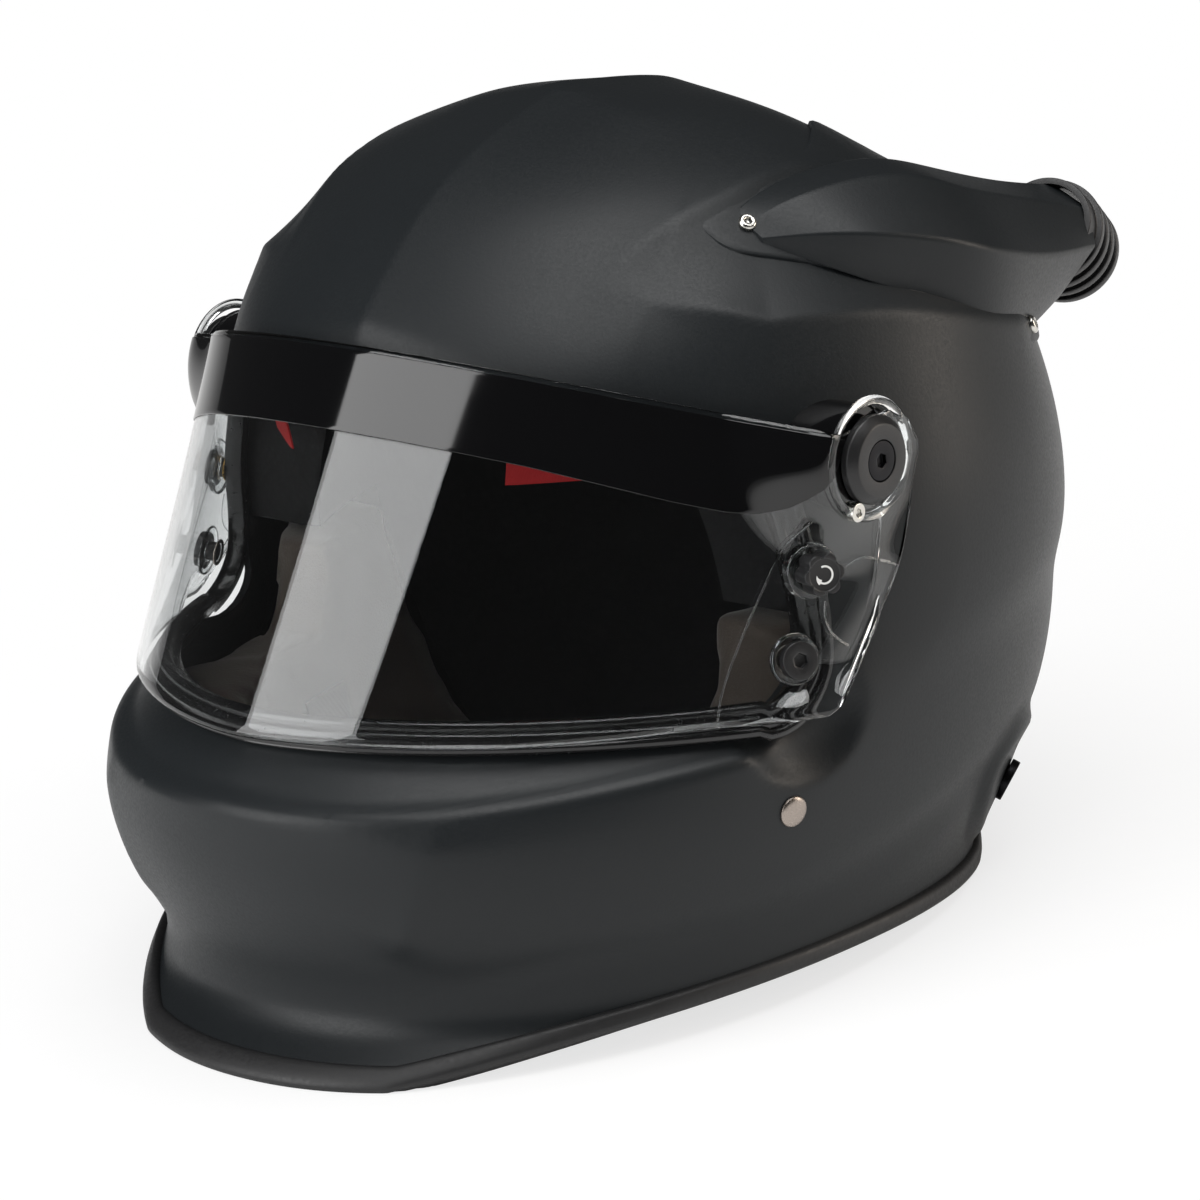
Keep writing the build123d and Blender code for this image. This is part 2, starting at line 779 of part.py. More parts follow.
def duct_cover():
    """Moulded hood and flange of the forced air duct"""
    flange = layer(-seat_gap - duct_flange_wall, 0, duct_flange_zone(), inner_gap=-seat_gap)
    hood = duct_body() - shared_skin(0, 0, -seat_gap)
    holes = [duct_body(duct_wall), duct_plane() * Cylinder(spout_bore, 2 * duct_wall)]
    for y, z in duct_screw_places():
        plane = side_plane(y, z, seat_gap + duct_flange_wall)
        holes.append(plane * Cylinder(ring_wire, overrun))
        holes.append(plane * Cylinder(duct_screw_radius + seat_gap, overrun,
                                      align=(Align.CENTER, Align.CENTER, Align.MIN)))
    return flange + hood - holes


def duct_screw_places():
    """Side view places of the duct's screws"""
    return [(y * rear_reach, z * height) for y, z in screw_share_places]


def duct_spout():
    """Ribbed hose spigot"""
    pitch = spout_length / spout_ribs
    body = Cylinder(spout_radius, spout_length, align=(Align.CENTER, Align.CENTER, Align.MIN))
    for k in range(spout_ribs):
        rib = Cylinder(rib_radius, rib_width, align=(Align.CENTER, Align.CENTER, Align.MAX))
        body = body + Pos(0, 0, (k + 1) * pitch) * rib
    body -= Cylinder(spout_bore, 4 * spout_length)
    return duct_plane() * body - shared_skin(0, 0, -seat_gap)


def duct_screws():
    """Button head screws of the duct flange"""
    screws = []
    for y, z in duct_screw_places():
        start = seat_gap + duct_flange_wall
        head = Pos(0, 0, start + duct_screw_height / 2) * Cylinder(
            duct_screw_radius, duct_screw_height)
        length = start + wall
        shank = Pos(0, 0, start - length / 2) * Cylinder(ring_wire - running_gap, length)
        screws.append(side_plane(y, z, 0) * (head + shank))
    return Compound(screws)


def build_all():
    """Make every node"""
    save("outer_shell", outer_shell())
    save("edge_trim", edge_trim())
    save("eyeport_gasket", eyeport_gasket())
    save("crown_liner", crown_liner())
    save("crown_pad", crown_pad())
    save("brow_pad", brow_pad())
    save("brow_pull_tabs", pull_tabs())
    save("chin_bar_foam", chin_bar_foam())
    save("chin_pad", chin_pad())
    save("neck_roll", neck_roll())
    pairs = {
        "cheek_pad": cheek_pad(),
        "chin_strap": strap_solid(),
        "strap_rivet": rivet(),
        "anchor_plug": anchor_plug(),
        "anchor_nut": anchor_nut(),
        "pivot_base": pivot_base(),
        "pivot_cap": pivot_cap(),
        "pivot_screw": pivot_screw(),
        "pivot_nut": pivot_nut(),
    }
    for name, shape in pairs.items():
        save(name + "_left", shape)
        save(name + "_right", mirrored(shape))
    save("shield_lens", shield_lens())
    save("sun_strip", sun_strip())
    save("lock_knob", lock_knob())
    for side, word in ((1, "left"), (-1, "right")):
        save("tear_off_post_" + word, tear_off_post(post_y, post_z, post_ring_height, side))
        save("tear_off_nut_" + word, post_nut(post_y, post_z, side))
    save("upper_post_right", tear_off_post(knob_y, knob_z, boss_height, -1))
    save("upper_post_nut_right", post_nut(knob_y, knob_z, -1))
    save("duct_cover", duct_cover())
    save("duct_spout", duct_spout())
    save("duct_screws", duct_screws())


build_all()
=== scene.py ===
# %% [markdown]
# A full-face racing helmet. The CAD model gives the frame: every piece below is made in its
# places and rides on its bodies. The look is built here, from surfaces worked out with numpy.

import bpy
import json
import math
import numpy as np
from mathutils import Matrix


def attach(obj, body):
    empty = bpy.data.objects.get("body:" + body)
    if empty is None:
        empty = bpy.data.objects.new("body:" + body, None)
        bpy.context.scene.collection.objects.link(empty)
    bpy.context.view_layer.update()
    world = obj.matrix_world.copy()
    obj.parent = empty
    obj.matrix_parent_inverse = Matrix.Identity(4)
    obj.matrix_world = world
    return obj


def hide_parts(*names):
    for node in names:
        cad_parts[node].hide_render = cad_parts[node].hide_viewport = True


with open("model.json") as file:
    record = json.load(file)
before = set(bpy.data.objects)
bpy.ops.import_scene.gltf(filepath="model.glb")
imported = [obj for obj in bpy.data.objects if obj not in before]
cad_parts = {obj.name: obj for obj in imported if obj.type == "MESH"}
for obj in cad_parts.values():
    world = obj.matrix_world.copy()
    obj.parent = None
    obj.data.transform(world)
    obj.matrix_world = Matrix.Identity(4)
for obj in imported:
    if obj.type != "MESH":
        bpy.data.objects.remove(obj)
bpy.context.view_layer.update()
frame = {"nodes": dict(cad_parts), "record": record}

# %% [markdown]
# The moulded skin of the helmet is one egg-like surface that the shell, the shield and the
# trim all follow. It could be sculpted, but then each piece would have to be fitted to it by
# hand. Here it is a table of level sections, joined by one smooth curve, so any piece can ask
# for a place on it and for the direction straight out of it.

# %% Skin of the shell
SCALE = 0.001
HEIGHT, FRONT, HALF, REAR = 250.0, 172.0, 130.0, 165.0
SHIFT = 7.0
WALL = 2.8
FULLNESS = 2.1
TURN = 2 * math.pi
SECTIONS = np.array([
    (-0.05, 1.02, 0.89, 0.66, -0.15, 1.0), (0.0, 1.0, 0.885, 0.667, -0.15, 1.0),
    (0.036, 0.936, 0.869, 0.69, -0.15, 1.0), (0.14, 0.919, 0.908, 0.85, -0.09, 1.0),
    (0.296, 0.965, 0.969, 0.948, -0.03, 1.0), (0.336, 0.953, 0.977, 0.947, 0.0, 0.929),
    (0.4, 0.872, 0.992, 0.945, 0.09, 0.833), (0.528, 0.748, 1.0, 0.92, 0.15, 0.843),
    (0.648, 0.635, 0.962, 0.874, 0.165, 0.867), (0.764, 0.539, 0.881, 0.783, 0.17, 0.914),
    (0.856, 0.419, 0.723, 0.613, 0.158, 0.929), (0.924, 0.291, 0.56, 0.465, 0.145, 0.929),
    (0.968, 0.14, 0.365, 0.32, 0.121, 0.952), (0.992, -0.005, 0.18, 0.155, 0.073, 0.952),
    (0.999, -0.047, 0.06, 0.103, 0.073, 0.952)]) * (HEIGHT, FRONT, HALF, REAR, REAR, FULLNESS)


def smooth_curve(stops, values):
    """Natural cubic spline: between two stops a cubic that keeps slope and bend unbroken"""
    gap = np.diff(stops)
    count = len(stops)
    system = np.eye(count)
    inner = np.arange(1, count - 1)
    system[inner, inner] = 2 * (gap[:-1] + gap[1:])
    system[inner, inner - 1] = gap[:-1]
    system[inner, inner + 1] = gap[1:]
    right = np.zeros_like(values)
    right[1:-1] = 6 * (np.diff(values, axis=0)[1:] / gap[1:, None]
                       - np.diff(values, axis=0)[:-1] / gap[:-1, None])
    bend = np.linalg.solve(system, right)

    def at(where):
        """Value of the curve at any place between the first stop and the last"""
        where = np.asarray(where, float)
        cell = np.clip(np.searchsorted(stops, where) - 1, 0, count - 2)
        step = gap[cell][..., None]
        low = (where - stops[cell])[..., None]
        high = step - low
        return ((bend[cell] * high ** 3 + bend[cell + 1] * low ** 3) / (6 * step)
                + (values[cell] / step - bend[cell] * step / 6) * high
                + (values[cell + 1] / step - bend[cell + 1] * step / 6) * low)
    return at


def round_power(wave, full):
    """Superellipse helper: the wave to the power 2 over fullness, with its sign kept"""
    return np.sign(wave) * np.abs(wave) ** (2 / full)


def section_ring(size, turn):
    """Level outline: x = width sin, y = middle - reach cos, both superelliptic"""
    level, front, width, rear, middle, full = np.moveaxis(size, -1, 0)
    full = np.where(np.cos(turn) > 0, full, FULLNESS)
    along = round_power(np.cos(turn), full)
    reach = np.where(along > 0, front + middle, rear - middle)
    return np.stack([width * round_power(np.sin(turn), full), middle - reach * along + SHIFT,
                     level + 0 * turn], -1)


ring = np.linspace(0, TURN, 20, endpoint=False)
outlines = section_ring(SECTIONS[:, None, :], ring[None, :])
steps = np.sqrt((np.diff(outlines, axis=0) ** 2).sum((1, 2)))
STOPS = np.concatenate([[0], np.cumsum(steps)])
STOPS /= STOPS[-1]
size_at = smooth_curve(STOPS, SECTIONS)
climb_table = np.linspace(0, 1, 4001)
level_table = size_at(climb_table)[:, 0]


def climb_at(level):
    """How far up the skin a level lies, from 0 at the foot to 1 at the crown"""
    return np.interp(level, level_table, climb_table)


def bare_skin(turn, climb):
    """Place on the skin: turn 0 is the face, a quarter turn the wearer's left"""
    return section_ring(size_at(climb), turn)


def skin_normal(turn, climb):
    """Unit vector out of the skin, from the cross product of its two slopes"""
    step = 1e-3
    low, high = np.clip(climb - step, 0, 1), np.clip(climb + step, 0, 1)
    across = bare_skin(turn + step, climb) - bare_skin(turn - step, climb)
    upward = bare_skin(turn, high) - bare_skin(turn, low)
    normal = np.cross(across, upward)
    return normal / np.maximum(np.linalg.norm(normal, axis=-1, keepdims=True), 1e-9)


def skin(turn, climb, out=0.0):
    """Place on the skin moved straight out by a distance in millimetres"""
    turn, climb = np.broadcast_arrays(np.asarray(turn, float), np.asarray(climb, float))
    out = np.broadcast_to(np.asarray(out, float), turn.shape)
    return bare_skin(turn, climb) + skin_normal(turn, climb) * out[..., None]


def turn_at(y, level, side=1):
    """Turn of the place seen from the side at y and level, by halving"""
    y, level = np.broadcast_arrays(np.asarray(y, float), np.asarray(level, float))
    low, high = np.zeros(y.shape), np.full(y.shape, math.pi)
    climb = climb_at(level)
    for _ in range(40):
        middle = (low + high) / 2
        short = bare_skin(middle, climb)[..., 1] < y
        low = np.where(short, middle, low)
        high = np.where(short, high, middle)
    return side * (low + high) / 2


print("skin from", level_table[0], "to", level_table[-1], "mm")

# %% [markdown]
# A mesh is a list of places and a list of faces. A grid of places, wound round one way and
# open or closed the other, covers nearly every moulded piece, so one helper turns a grid into
# an object, marks its sharp edges by angle and seats it on its body.

# %% Grid into mesh
def add_object(name, data):
    """Object that holds a mesh, a lamp or a camera, linked to the scene"""
    made = bpy.data.objects.new(name, data)
    bpy.context.scene.collection.objects.link(made)
    return made


def grid_faces(rows, columns, wrap_rows=False, wrap_columns=False):
    """Corner numbers of each four-sided cell of a grid, taken as whole arrays"""
    number = np.arange(rows * columns).reshape(rows, columns)
    if wrap_rows:
        number = np.vstack([number, number[:1]])
    if wrap_columns:
        number = np.hstack([number, number[:, :1]])
    return np.stack([number[:-1, :-1], number[:-1, 1:], number[1:, 1:], number[1:, :-1]],
                    -1).reshape(-1, 4)


def make_object(name, places, faces, sharp=30.0):
    """Mesh object from places in millimetres; edges bent more than sharp stay crisp"""
    mesh = bpy.data.meshes.new(name)
    places = np.asarray(places, float).reshape(-1, 3) * SCALE
    faces = np.asarray(faces, int)
    mesh.vertices.add(len(places))
    mesh.vertices.foreach_set("co", places.ravel())
    sides = faces.shape[1]
    mesh.loops.add(faces.size)
    mesh.loops.foreach_set("vertex_index", faces.ravel())
    mesh.polygons.add(len(faces))
    mesh.polygons.foreach_set("loop_start", np.arange(len(faces)) * sides)
    mesh.update(calc_edges=True)
    mesh.validate()
    piece = add_object(name, mesh)
    shade(piece, sharp)
    return piece


def select_only(piece):
    """Make one object the active and only selected one"""
    bpy.ops.object.select_all(action="DESELECT")
    piece.select_set(True)
    bpy.context.view_layer.objects.active = piece


def shade(piece, sharp=30.0):
    """Smooth shading that breaks at edges bent more than an angle in degrees"""
    select_only(piece)
    bpy.ops.object.shade_smooth_by_angle(angle=math.radians(sharp))


def tidy(piece, reach=1e-5, fill=False):
    """Merge doubles, close open ends if asked and point all faces outwards"""
    select_only(piece)
    bpy.ops.object.mode_set(mode="EDIT")
    bpy.ops.mesh.select_all(action="SELECT")
    bpy.ops.mesh.remove_doubles(threshold=reach)
    if fill:
        bpy.ops.mesh.fill_holes(sides=0)
    bpy.ops.mesh.normals_make_consistent(inside=False)
    bpy.ops.object.mode_set(mode="OBJECT")


def seat(piece, material, body, *nodes, slot=None):
    """Give a piece its finish, its body and the CAD nodes that it stands for"""
    piece.data.materials.clear()
    piece.data.materials.append(material)
    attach(piece, body)
    if nodes:
        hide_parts(*nodes)
    return piece


# %% [markdown]
# Shader maths is easier to read as a formula than as a web of nodes. The Wave class wraps one
# socket of a node tree, so that differences and products written in Python add Math nodes.

# %% Finishes as formulas
class Wave:
    """One number that varies over a surface, held in a node's socket"""

    def __init__(self, paint, socket):
        self.paint, self.socket = paint, socket

    def maths(self, operation, other):
        """Math node on this wave and a number or another wave"""
        return self.paint.node("ShaderNodeMath", {"operation": operation}, 0, self, other)

    def __sub__(self, other):
        return self.maths("SUBTRACT", other)

    def __mul__(self, other):
        return self.maths("MULTIPLY", other)

    def fit(self, low, high, start=0.0, stop=1.0):
        """The number moved from one range to another and kept inside it"""
        return self.paint.node("ShaderNodeMapRange", {"clamp": True}, 0,
                               self, low, high, start, stop)


class Paint:
    """A material under construction, with one method that makes any node"""

    def __init__(self, name, colour, rough, **fixed):
        self.material = bpy.data.materials.new(name)
        self.material.use_nodes = True
        self.tree = self.material.node_tree
        self.shader = self.tree.nodes["Principled BSDF"]
        self.shader.inputs["Base Color"].default_value = (*colour, 1)
        self.shader.inputs["Roughness"].default_value = rough
        for key, value in fixed.items():
            self.shader.inputs[key.replace("_", " ")].default_value = value
        self.place = self.node("ShaderNodeTexCoord", {}, "Object")

    def node(self, kind, settings, output, *values, **named):
        """Add a node: its settings first, then the values or links of its sockets"""
        made = self.tree.nodes.new(kind)
        for key, value in settings.items():
            setattr(made, key, value)
        for key, value in [*enumerate(values), *named.items()]:
            socket = made.inputs[key]
            if isinstance(value, Wave):
                self.tree.links.new(value.socket, socket)
            elif value is not None:
                socket.default_value = value
        return Wave(self, made.outputs[output])

    def noise(self, size, detail=3.0):
        """Cloudy variation with features of about this size in metres"""
        return self.node("ShaderNodeTexNoise", {}, "Fac", Vector=self.place, Scale=1 / size,
                         Detail=detail)

    def blend(self, amount, first, second):
        """Mix two colours by a varying amount"""
        return self.node("ShaderNodeMixRGB", {}, 0, amount, (*first, 1), (*second, 1))

    def drive(self, **inputs):
        """Link varying values to the shader"""
        for key, value in inputs.items():
            self.tree.links.new(value.socket, self.shader.inputs[key.replace("_", " ")])
        return self

    def bump(self, height, depth, strength):
        """Raise the surface by a varying height, in metres at full height"""
        made = self.node("ShaderNodeBump", {}, 0, Strength=strength, Distance=depth,
                         Height=height)
        return self.drive(Normal=made)


def srgb(red, green, blue):
    """Colour as seen on a screen, 0 to 255, as the light values a shader takes"""
    return tuple(((c / 255 + 0.055) / 1.055) ** 2.4 if c > 10 else c / 255 / 12.92
                 for c in (red, green, blue))


# %% [markdown]
# Each finish is one short function. A material could be a single colour, but real surfaces are
# never even, so a noise varies the colour or the roughness a little and a fine bump adds grain.

# %% Finishes of the helmet
def shell_paint():
    """Satin charcoal paint with a fine grain and slightly uneven sheen"""
    paint = Paint("charcoal_paint", srgb(26, 29, 31), 0.4, Specular_IOR_Level=0.27)
    cloud = paint.noise(0.05, 3)
    grain = paint.noise(0.0009, 2)
    paint.drive(Base_Color=paint.blend(cloud, srgb(24, 27, 29), srgb(28, 31, 33)),
                Roughness=grain.fit(0.3, 0.7, 0.36, 0.46))
    return paint.bump(grain, 0.00006, 0.5).material


def black_plastic():
    """Moulded satin black plastic"""
    paint = Paint("black_plastic", srgb(24, 24, 25), 0.38)
    grain = paint.noise(0.0006, 2)
    paint.drive(Roughness=grain.fit(0.3, 0.7, 0.32, 0.46))
    return paint.bump(grain, 0.00004, 0.4).material


def gloss_black():
    """Glossy black film"""
    paint = Paint("gloss_black", srgb(8, 8, 9), 0.06, Specular_IOR_Level=0.55)
    cloud = paint.noise(0.03, 2)
    return paint.drive(Roughness=cloud.fit(0.3, 0.7, 0.04, 0.09)).material


def black_rubber(name, rough):
    """Rubber, satin or glossy by its roughness"""
    paint = Paint(name, srgb(26, 26, 27), rough)
    grain = paint.noise(0.0012, 3)
    paint.drive(Roughness=grain.fit(0.3, 0.7, rough - 0.08, rough + 0.08))
    return paint.bump(grain, 0.00008, 0.5).material


def clear_lens():
    """Hard-coated clear polycarbonate"""
    paint = Paint("clear_lens", (0.93, 0.95, 0.955), 0.02, Transmission_Weight=1.0, IOR=1.5)
    smear = paint.noise(0.06, 2)
    return paint.drive(Roughness=smear.fit(0.4, 0.8, 0.0, 0.012)).material


def suede(name, colour):
    """Short-napped cloth: nap bump, blotchy shade and a soft sheen"""
    paint = Paint(name, colour, 0.85, Sheen_Weight=0.35, Sheen_Roughness=0.5)
    nap = paint.noise(0.0007, 4)
    blotch = paint.noise(0.02, 3)
    darker = tuple(0.7 * c for c in colour)
    paint.drive(Base_Color=paint.blend(blotch, darker, colour),
                Roughness=nap.fit(0.3, 0.7, 0.78, 0.95))
    return paint.bump(nap, 0.0003, 0.6).material


def metal(name, colour, rough):
    """Plated or oiled metal with fine brushing"""
    paint = Paint(name, colour, rough, Metallic=1.0)
    brush = paint.noise(0.0008, 3)
    paint.drive(Roughness=brush.fit(0.3, 0.7, rough - 0.05, rough + 0.1))
    return paint.bump(brush, 0.00003, 0.3).material


def foam():
    """Dark bead foam"""
    paint = Paint("foam", srgb(16, 16, 17), 0.85)
    bead = paint.node("ShaderNodeTexVoronoi", {}, "Distance", Vector=paint.place, Scale=400.0)
    paint.drive(Base_Color=paint.blend(bead, srgb(20, 20, 21), srgb(12, 12, 13)))
    return paint.bump(bead, 0.0003, 0.5).material


def webbing(name, colour):
    """Woven ribbon: two crossed waves of threads"""
    paint = Paint(name, colour, 0.7)
    warp = paint.node("ShaderNodeTexWave", {"bands_direction": "X"}, "Fac",
                      Vector=paint.place, Scale=900.0)
    weft = paint.node("ShaderNodeTexWave", {"bands_direction": "Z"}, "Fac",
                      Vector=paint.place, Scale=900.0)
    weave = warp * weft
    paint.drive(Base_Color=paint.blend(weave, tuple(0.6 * c for c in colour), colour))
    return paint.bump(weave, 0.0002, 0.6).material


PAINT = shell_paint()
PLASTIC = black_plastic()
GLOSS = gloss_black()
TRIM = black_rubber("trim_rubber", 0.5)
SEAL = black_rubber("gasket_rubber", 0.2)
LENS = clear_lens()
LINING = suede("lining_suede", srgb(96, 84, 75))
ROLL = suede("neck_suede", srgb(30, 30, 31))
RED = webbing("red_ribbon", srgb(225, 16, 22))
STRAP = webbing("strap_webbing", srgb(26, 26, 27))
NICKEL = metal("nickel", srgb(158, 148, 140), 0.28)
CHROME = metal("bright_steel", srgb(208, 206, 200), 0.2)
STEEL = metal("black_steel", srgb(40, 40, 42), 0.35)
MARK = Paint("arrow_white", srgb(222, 222, 220), 0.5).material
BRASS = metal("gold_nut", srgb(200, 160, 90), 0.25)
FOAM = foam()
DARK = suede("crown_suede", srgb(14, 13, 13))

finish_of = {"shell_paint": PAINT, "trim_rubber": TRIM, "gasket_rubber": SEAL,
             "liner_foam": FOAM, "lining_fabric": LINING, "red_ribbon": RED,
             "strap_webbing": STRAP, "clear_lens": LENS, "black_strip": GLOSS,
             "black_plastic": PLASTIC, "black_metal": STEEL, "nickel": NICKEL,
             "brass_nut": BRASS}
for entry in frame["record"]["subparts"]:
    node = frame["nodes"][entry["node"]]
    node.data.materials.clear()
    node.data.materials.append(finish_of[entry["material_slot"]])
print("finishes", len(finish_of))

# %% [markdown]
# On the real shell a few folds break the egg: a keel along the crown, two shoulder folds at
# each side, a shelf above the chin bar, a hollow for the thumb under the shield's corner and
# a shallow valley above the rim. They could be modelled as edges, but a small height added
# along the way out of the skin keeps the surface smooth everywhere else.

# %% Folds of the shell
def line_distance(places, line):
    """Distance to the nearest point of a line of straight runs, and how far along that is"""
    nearest = np.full(places.shape[:-1], np.inf)
    along = np.zeros(places.shape[:-1])
    total = 0.0
    for start, stop in zip(line[:-1], line[1:]):
        run = stop - start
        length = np.linalg.norm(run)
        share = np.clip((places - start) @ run / length ** 2, 0, 1)
        reach = np.linalg.norm(places - start - share[..., None] * run, axis=-1)
        closer = reach < nearest
        along = np.where(closer, total + share * length, along)
        nearest = np.where(closer, reach, nearest)
        total += length
    return nearest, along, total


def ease(value, low=0.0, high=1.0):
    """S-shaped step: 3t2 - 2t3 of the value's share between low and high"""
    share = np.clip((value - low) / (high - low), 0, 1)
    return share * share * (3 - 2 * share)


def fold(places, line, tall, wide, start_fade, stop_fade):
    """Crisp ridge: its height times e to the minus distance over width, faded at its ends"""
    near, along, total = line_distance(places, line)
    near = np.sqrt(near ** 2 + 0.6 ** 2) - 0.6
    fade = ease(along, 0, start_fade) * ease(total - along, 0, stop_fade)
    return tall * np.exp(-near / wide) * fade


def shifted(points):
    """Places of the helmet's own frame, moved as the CAD is"""
    return np.array(points, float) + (0, SHIFT, 0)


KEEL = shifted([(0, -92, 196), (0, -75, 212), (0, -61, 224), (0, -39, 238), (0, -5, 247),
                (0, 22, 249), (0, 60, 240), (0, 95, 224)])
CROWN_FOLD = shifted([(61, -60, 200), (63, -45, 215), (65, -35, 221), (69, -18, 226),
                      (73, -2, 229), (75, 22, 231), (78, 48, 225), (80, 80, 206)])
SHOULDER_FOLD = shifted([(57, -50, 216), (76, -42, 208), (100, -20, 198), (113, 13, 193),
                         (118, 40, 185), (112, 75, 172), (95, 108, 158)])
CHIN_CORNER = shifted([(66, -145, 82), (64, -143, 74), (56, -149, 53), (46, -149, 34)])
FOLDS = ((KEEL, 3.4, 20, 14, 45), (CROWN_FOLD, 2.6, 14, 55, 40),
         (SHOULDER_FOLD, 3.6, 13, 45, 40), (CHIN_CORNER, 2.2, 11, 10, 16))
SHELF_TURNS = np.radians([0.0, 30.0, 60.0, 90.0])
SHELF_LEVELS = np.array([82.5, 81.2, 81.8, 78.0])
SHELF_STEP = 2.2
shelf_curve = smooth_curve(SHELF_TURNS, SHELF_LEVELS[:, None])
HOLLOW, HOLLOW_LONG, HOLLOW_TALL, HOLLOW_DEEP = shifted([(121.5, -44, 87)])[0], 22, 18, 5.5
VALLEY_Y, VALLEY_LEVELS = (-150, -110, -42, 44, 110), (24, 30, 28, 38, 34)
VALLEY_DEEP, LIP_TALL, LIP_LEVEL = 1.6, 0.8, 15
ANCHOR, PAD_TALL = shifted([(100, 69, 28)])[0], 3.0


def shelf_height(swing, level):
    """Step over the chin bar: a crest that fades by e to the minus distance, and a drop above"""
    rise = level - shelf_curve(np.minimum(swing, SHELF_TURNS[-1]))[..., 0]
    crest = np.exp(1 / 4 - np.sqrt(rise ** 2 + 1.5 ** 2) / 6)
    drop = ease(rise, 0, 6) * ease(rise, 45, 20)
    return SHELF_STEP * (crest - drop) * ease(swing, math.radians(76), math.radians(66))


def hollow_depth(y, level):
    """Thumb hollow: one minus the squared distance to the power 1.6, smoothly kept over zero"""
    squared = ((y - HOLLOW[1]) / HOLLOW_LONG) ** 2 + ((level - HOLLOW[2]) / HOLLOW_TALL) ** 2
    bowl = 1 - squared ** 1.6
    return HOLLOW_DEEP * (bowl + np.sqrt(bowl ** 2 + 0.01)) / 2 * ease(bowl, -1.0, 0.0)


def relief(places, turn):
    """Height of the folds in millimetres, the same on both sides"""
    mirrored = places * (1, 1, 1)
    mirrored[..., 0] = np.abs(mirrored[..., 0])
    y, level = mirrored[..., 1], mirrored[..., 2]
    swing = np.abs((np.asarray(turn) + math.pi) % TURN - math.pi)
    tall = sum(fold(mirrored, *shape) for shape in FOLDS)
    tall += shelf_height(swing, level) - hollow_depth(y, level)
    side = ease(swing, math.radians(18), math.radians(45)) * ease(swing, math.pi, 2.2)
    valley = np.interp(y, VALLEY_Y, VALLEY_LEVELS)
    tall -= VALLEY_DEEP * side * np.exp(-((level - valley) / 8) ** 2)
    lip = LIP_TALL * ease(swing, math.radians(75), math.radians(40))
    tall += lip * (ease(level, 12, 4) - np.exp(-((level - LIP_LEVEL) / 5) ** 2))
    return tall + PAD_TALL * ease(np.linalg.norm(mirrored - ANCHOR, axis=-1), 25.5, 18)


RIM_ENDS = np.array([(-160.0, 0.0), (-110.0, 14.0), (-30.0, 11.0), (60.0, 0.0)]) + (SHIFT, 0)


def rim_level(y):
    """Height of the rim seen from the side: a cubic curve that arches between its two rests"""
    share = np.linspace(0, 1, 200)
    weights = np.stack([(1 - share) ** 3, 3 * share * (1 - share) ** 2,
                        3 * share ** 2 * (1 - share), share ** 3], -1)
    curve = weights @ RIM_ENDS
    return np.interp(y, curve[:, 0], curve[:, 1])


def rim_climb(turn, lift):
    """How far up the skin the rim lies at each turn"""
    climb = np.full(np.shape(turn), climb_at(5.0))
    for _ in range(6):
        climb = climb_at(lift + rim_level(bare_skin(turn, climb)[..., 1]))
    return climb


def shell_surface(turn, climb, out=0.0):
    """The skin with its folds, moved out by a distance"""
    turn, climb = np.broadcast_arrays(np.asarray(turn, float), np.asarray(climb, float))
    base = bare_skin(turn, climb)
    return base + skin_normal(turn, climb) * (relief(base, turn) + out)[..., None]


# %% [markdown]
# The shell is two such surfaces a wall apart, closed along the rim. The eyeport is cut with a
# Boolean because its outline is drawn from the side and crosses the grid at a slant.

# %% Shell
FAR_Y = -202.0
EYE_REAR, EYE_LOW, EYE_LOW_FAR = -35.0, 90.0, 109.0
EYE_HIGH, EYE_SLOPE, EYE_CORNER = 163.0, 0.4, 20.0
EYE_HIGH_FAR = EYE_HIGH + EYE_SLOPE * (EYE_REAR - FAR_Y)
BLOCK_HALF = 170


def eyeport_block():
    """Solid run across the helmet over the side outline of the eyeport, open to the front"""
    bend = np.radians(np.linspace(-90, 0, 9))
    middle = EYE_REAR - EYE_CORNER
    low_arc = np.stack([middle + EYE_CORNER * np.cos(bend),
                        EYE_LOW + EYE_CORNER + EYE_CORNER * np.sin(bend)], -1)
    high_arc = np.stack([middle + EYE_CORNER * np.cos(-bend[::-1]),
                         EYE_HIGH - EYE_CORNER * 0.6 + EYE_CORNER * np.sin(-bend[::-1])], -1)
    outline = np.vstack([[(FAR_Y, EYE_LOW_FAR)], low_arc, high_arc, [(FAR_Y, EYE_HIGH_FAR)]])
    outline[:, 0] += SHIFT
    count = len(outline)
    places = np.vstack([np.column_stack([np.full(count, x), outline])
                        for x in (-BLOCK_HALF, BLOCK_HALF)])
    mesh = bpy.data.meshes.new("eyeport_block")
    ring = np.arange(count)
    walls = np.stack([ring, np.roll(ring, -1), np.roll(ring, -1) + count, ring + count], -1)
    mesh.from_pydata((places * SCALE).tolist(), [],
                     walls.tolist() + [ring[::-1].tolist(), (ring + count).tolist()])
    block = add_object("eyeport_block", mesh)
    tidy(block)
    return block


def cut(piece, tool):
    """Take a closed solid out of a piece and discard the tool"""
    select_only(piece)
    boolean = piece.modifiers.new("cut", "BOOLEAN")
    boolean.operation, boolean.solver, boolean.object = "DIFFERENCE", "EXACT", tool
    bpy.ops.object.modifier_apply(modifier=boolean.name)
    bpy.data.objects.remove(tool)


def shell_grid(columns, rows, out):
    """Grid of the shell's outer or inner face, from the rim to the crown"""
    turn = np.linspace(0, TURN, columns, endpoint=False)
    foot = rim_climb(turn, 2.1)
    share = np.linspace(0, 1, rows)[:, None]
    climb = foot + (1 - foot) * (1 - (1 - share) ** 1.15)
    return shell_surface(turn[None, :] + 0 * climb, climb, out)


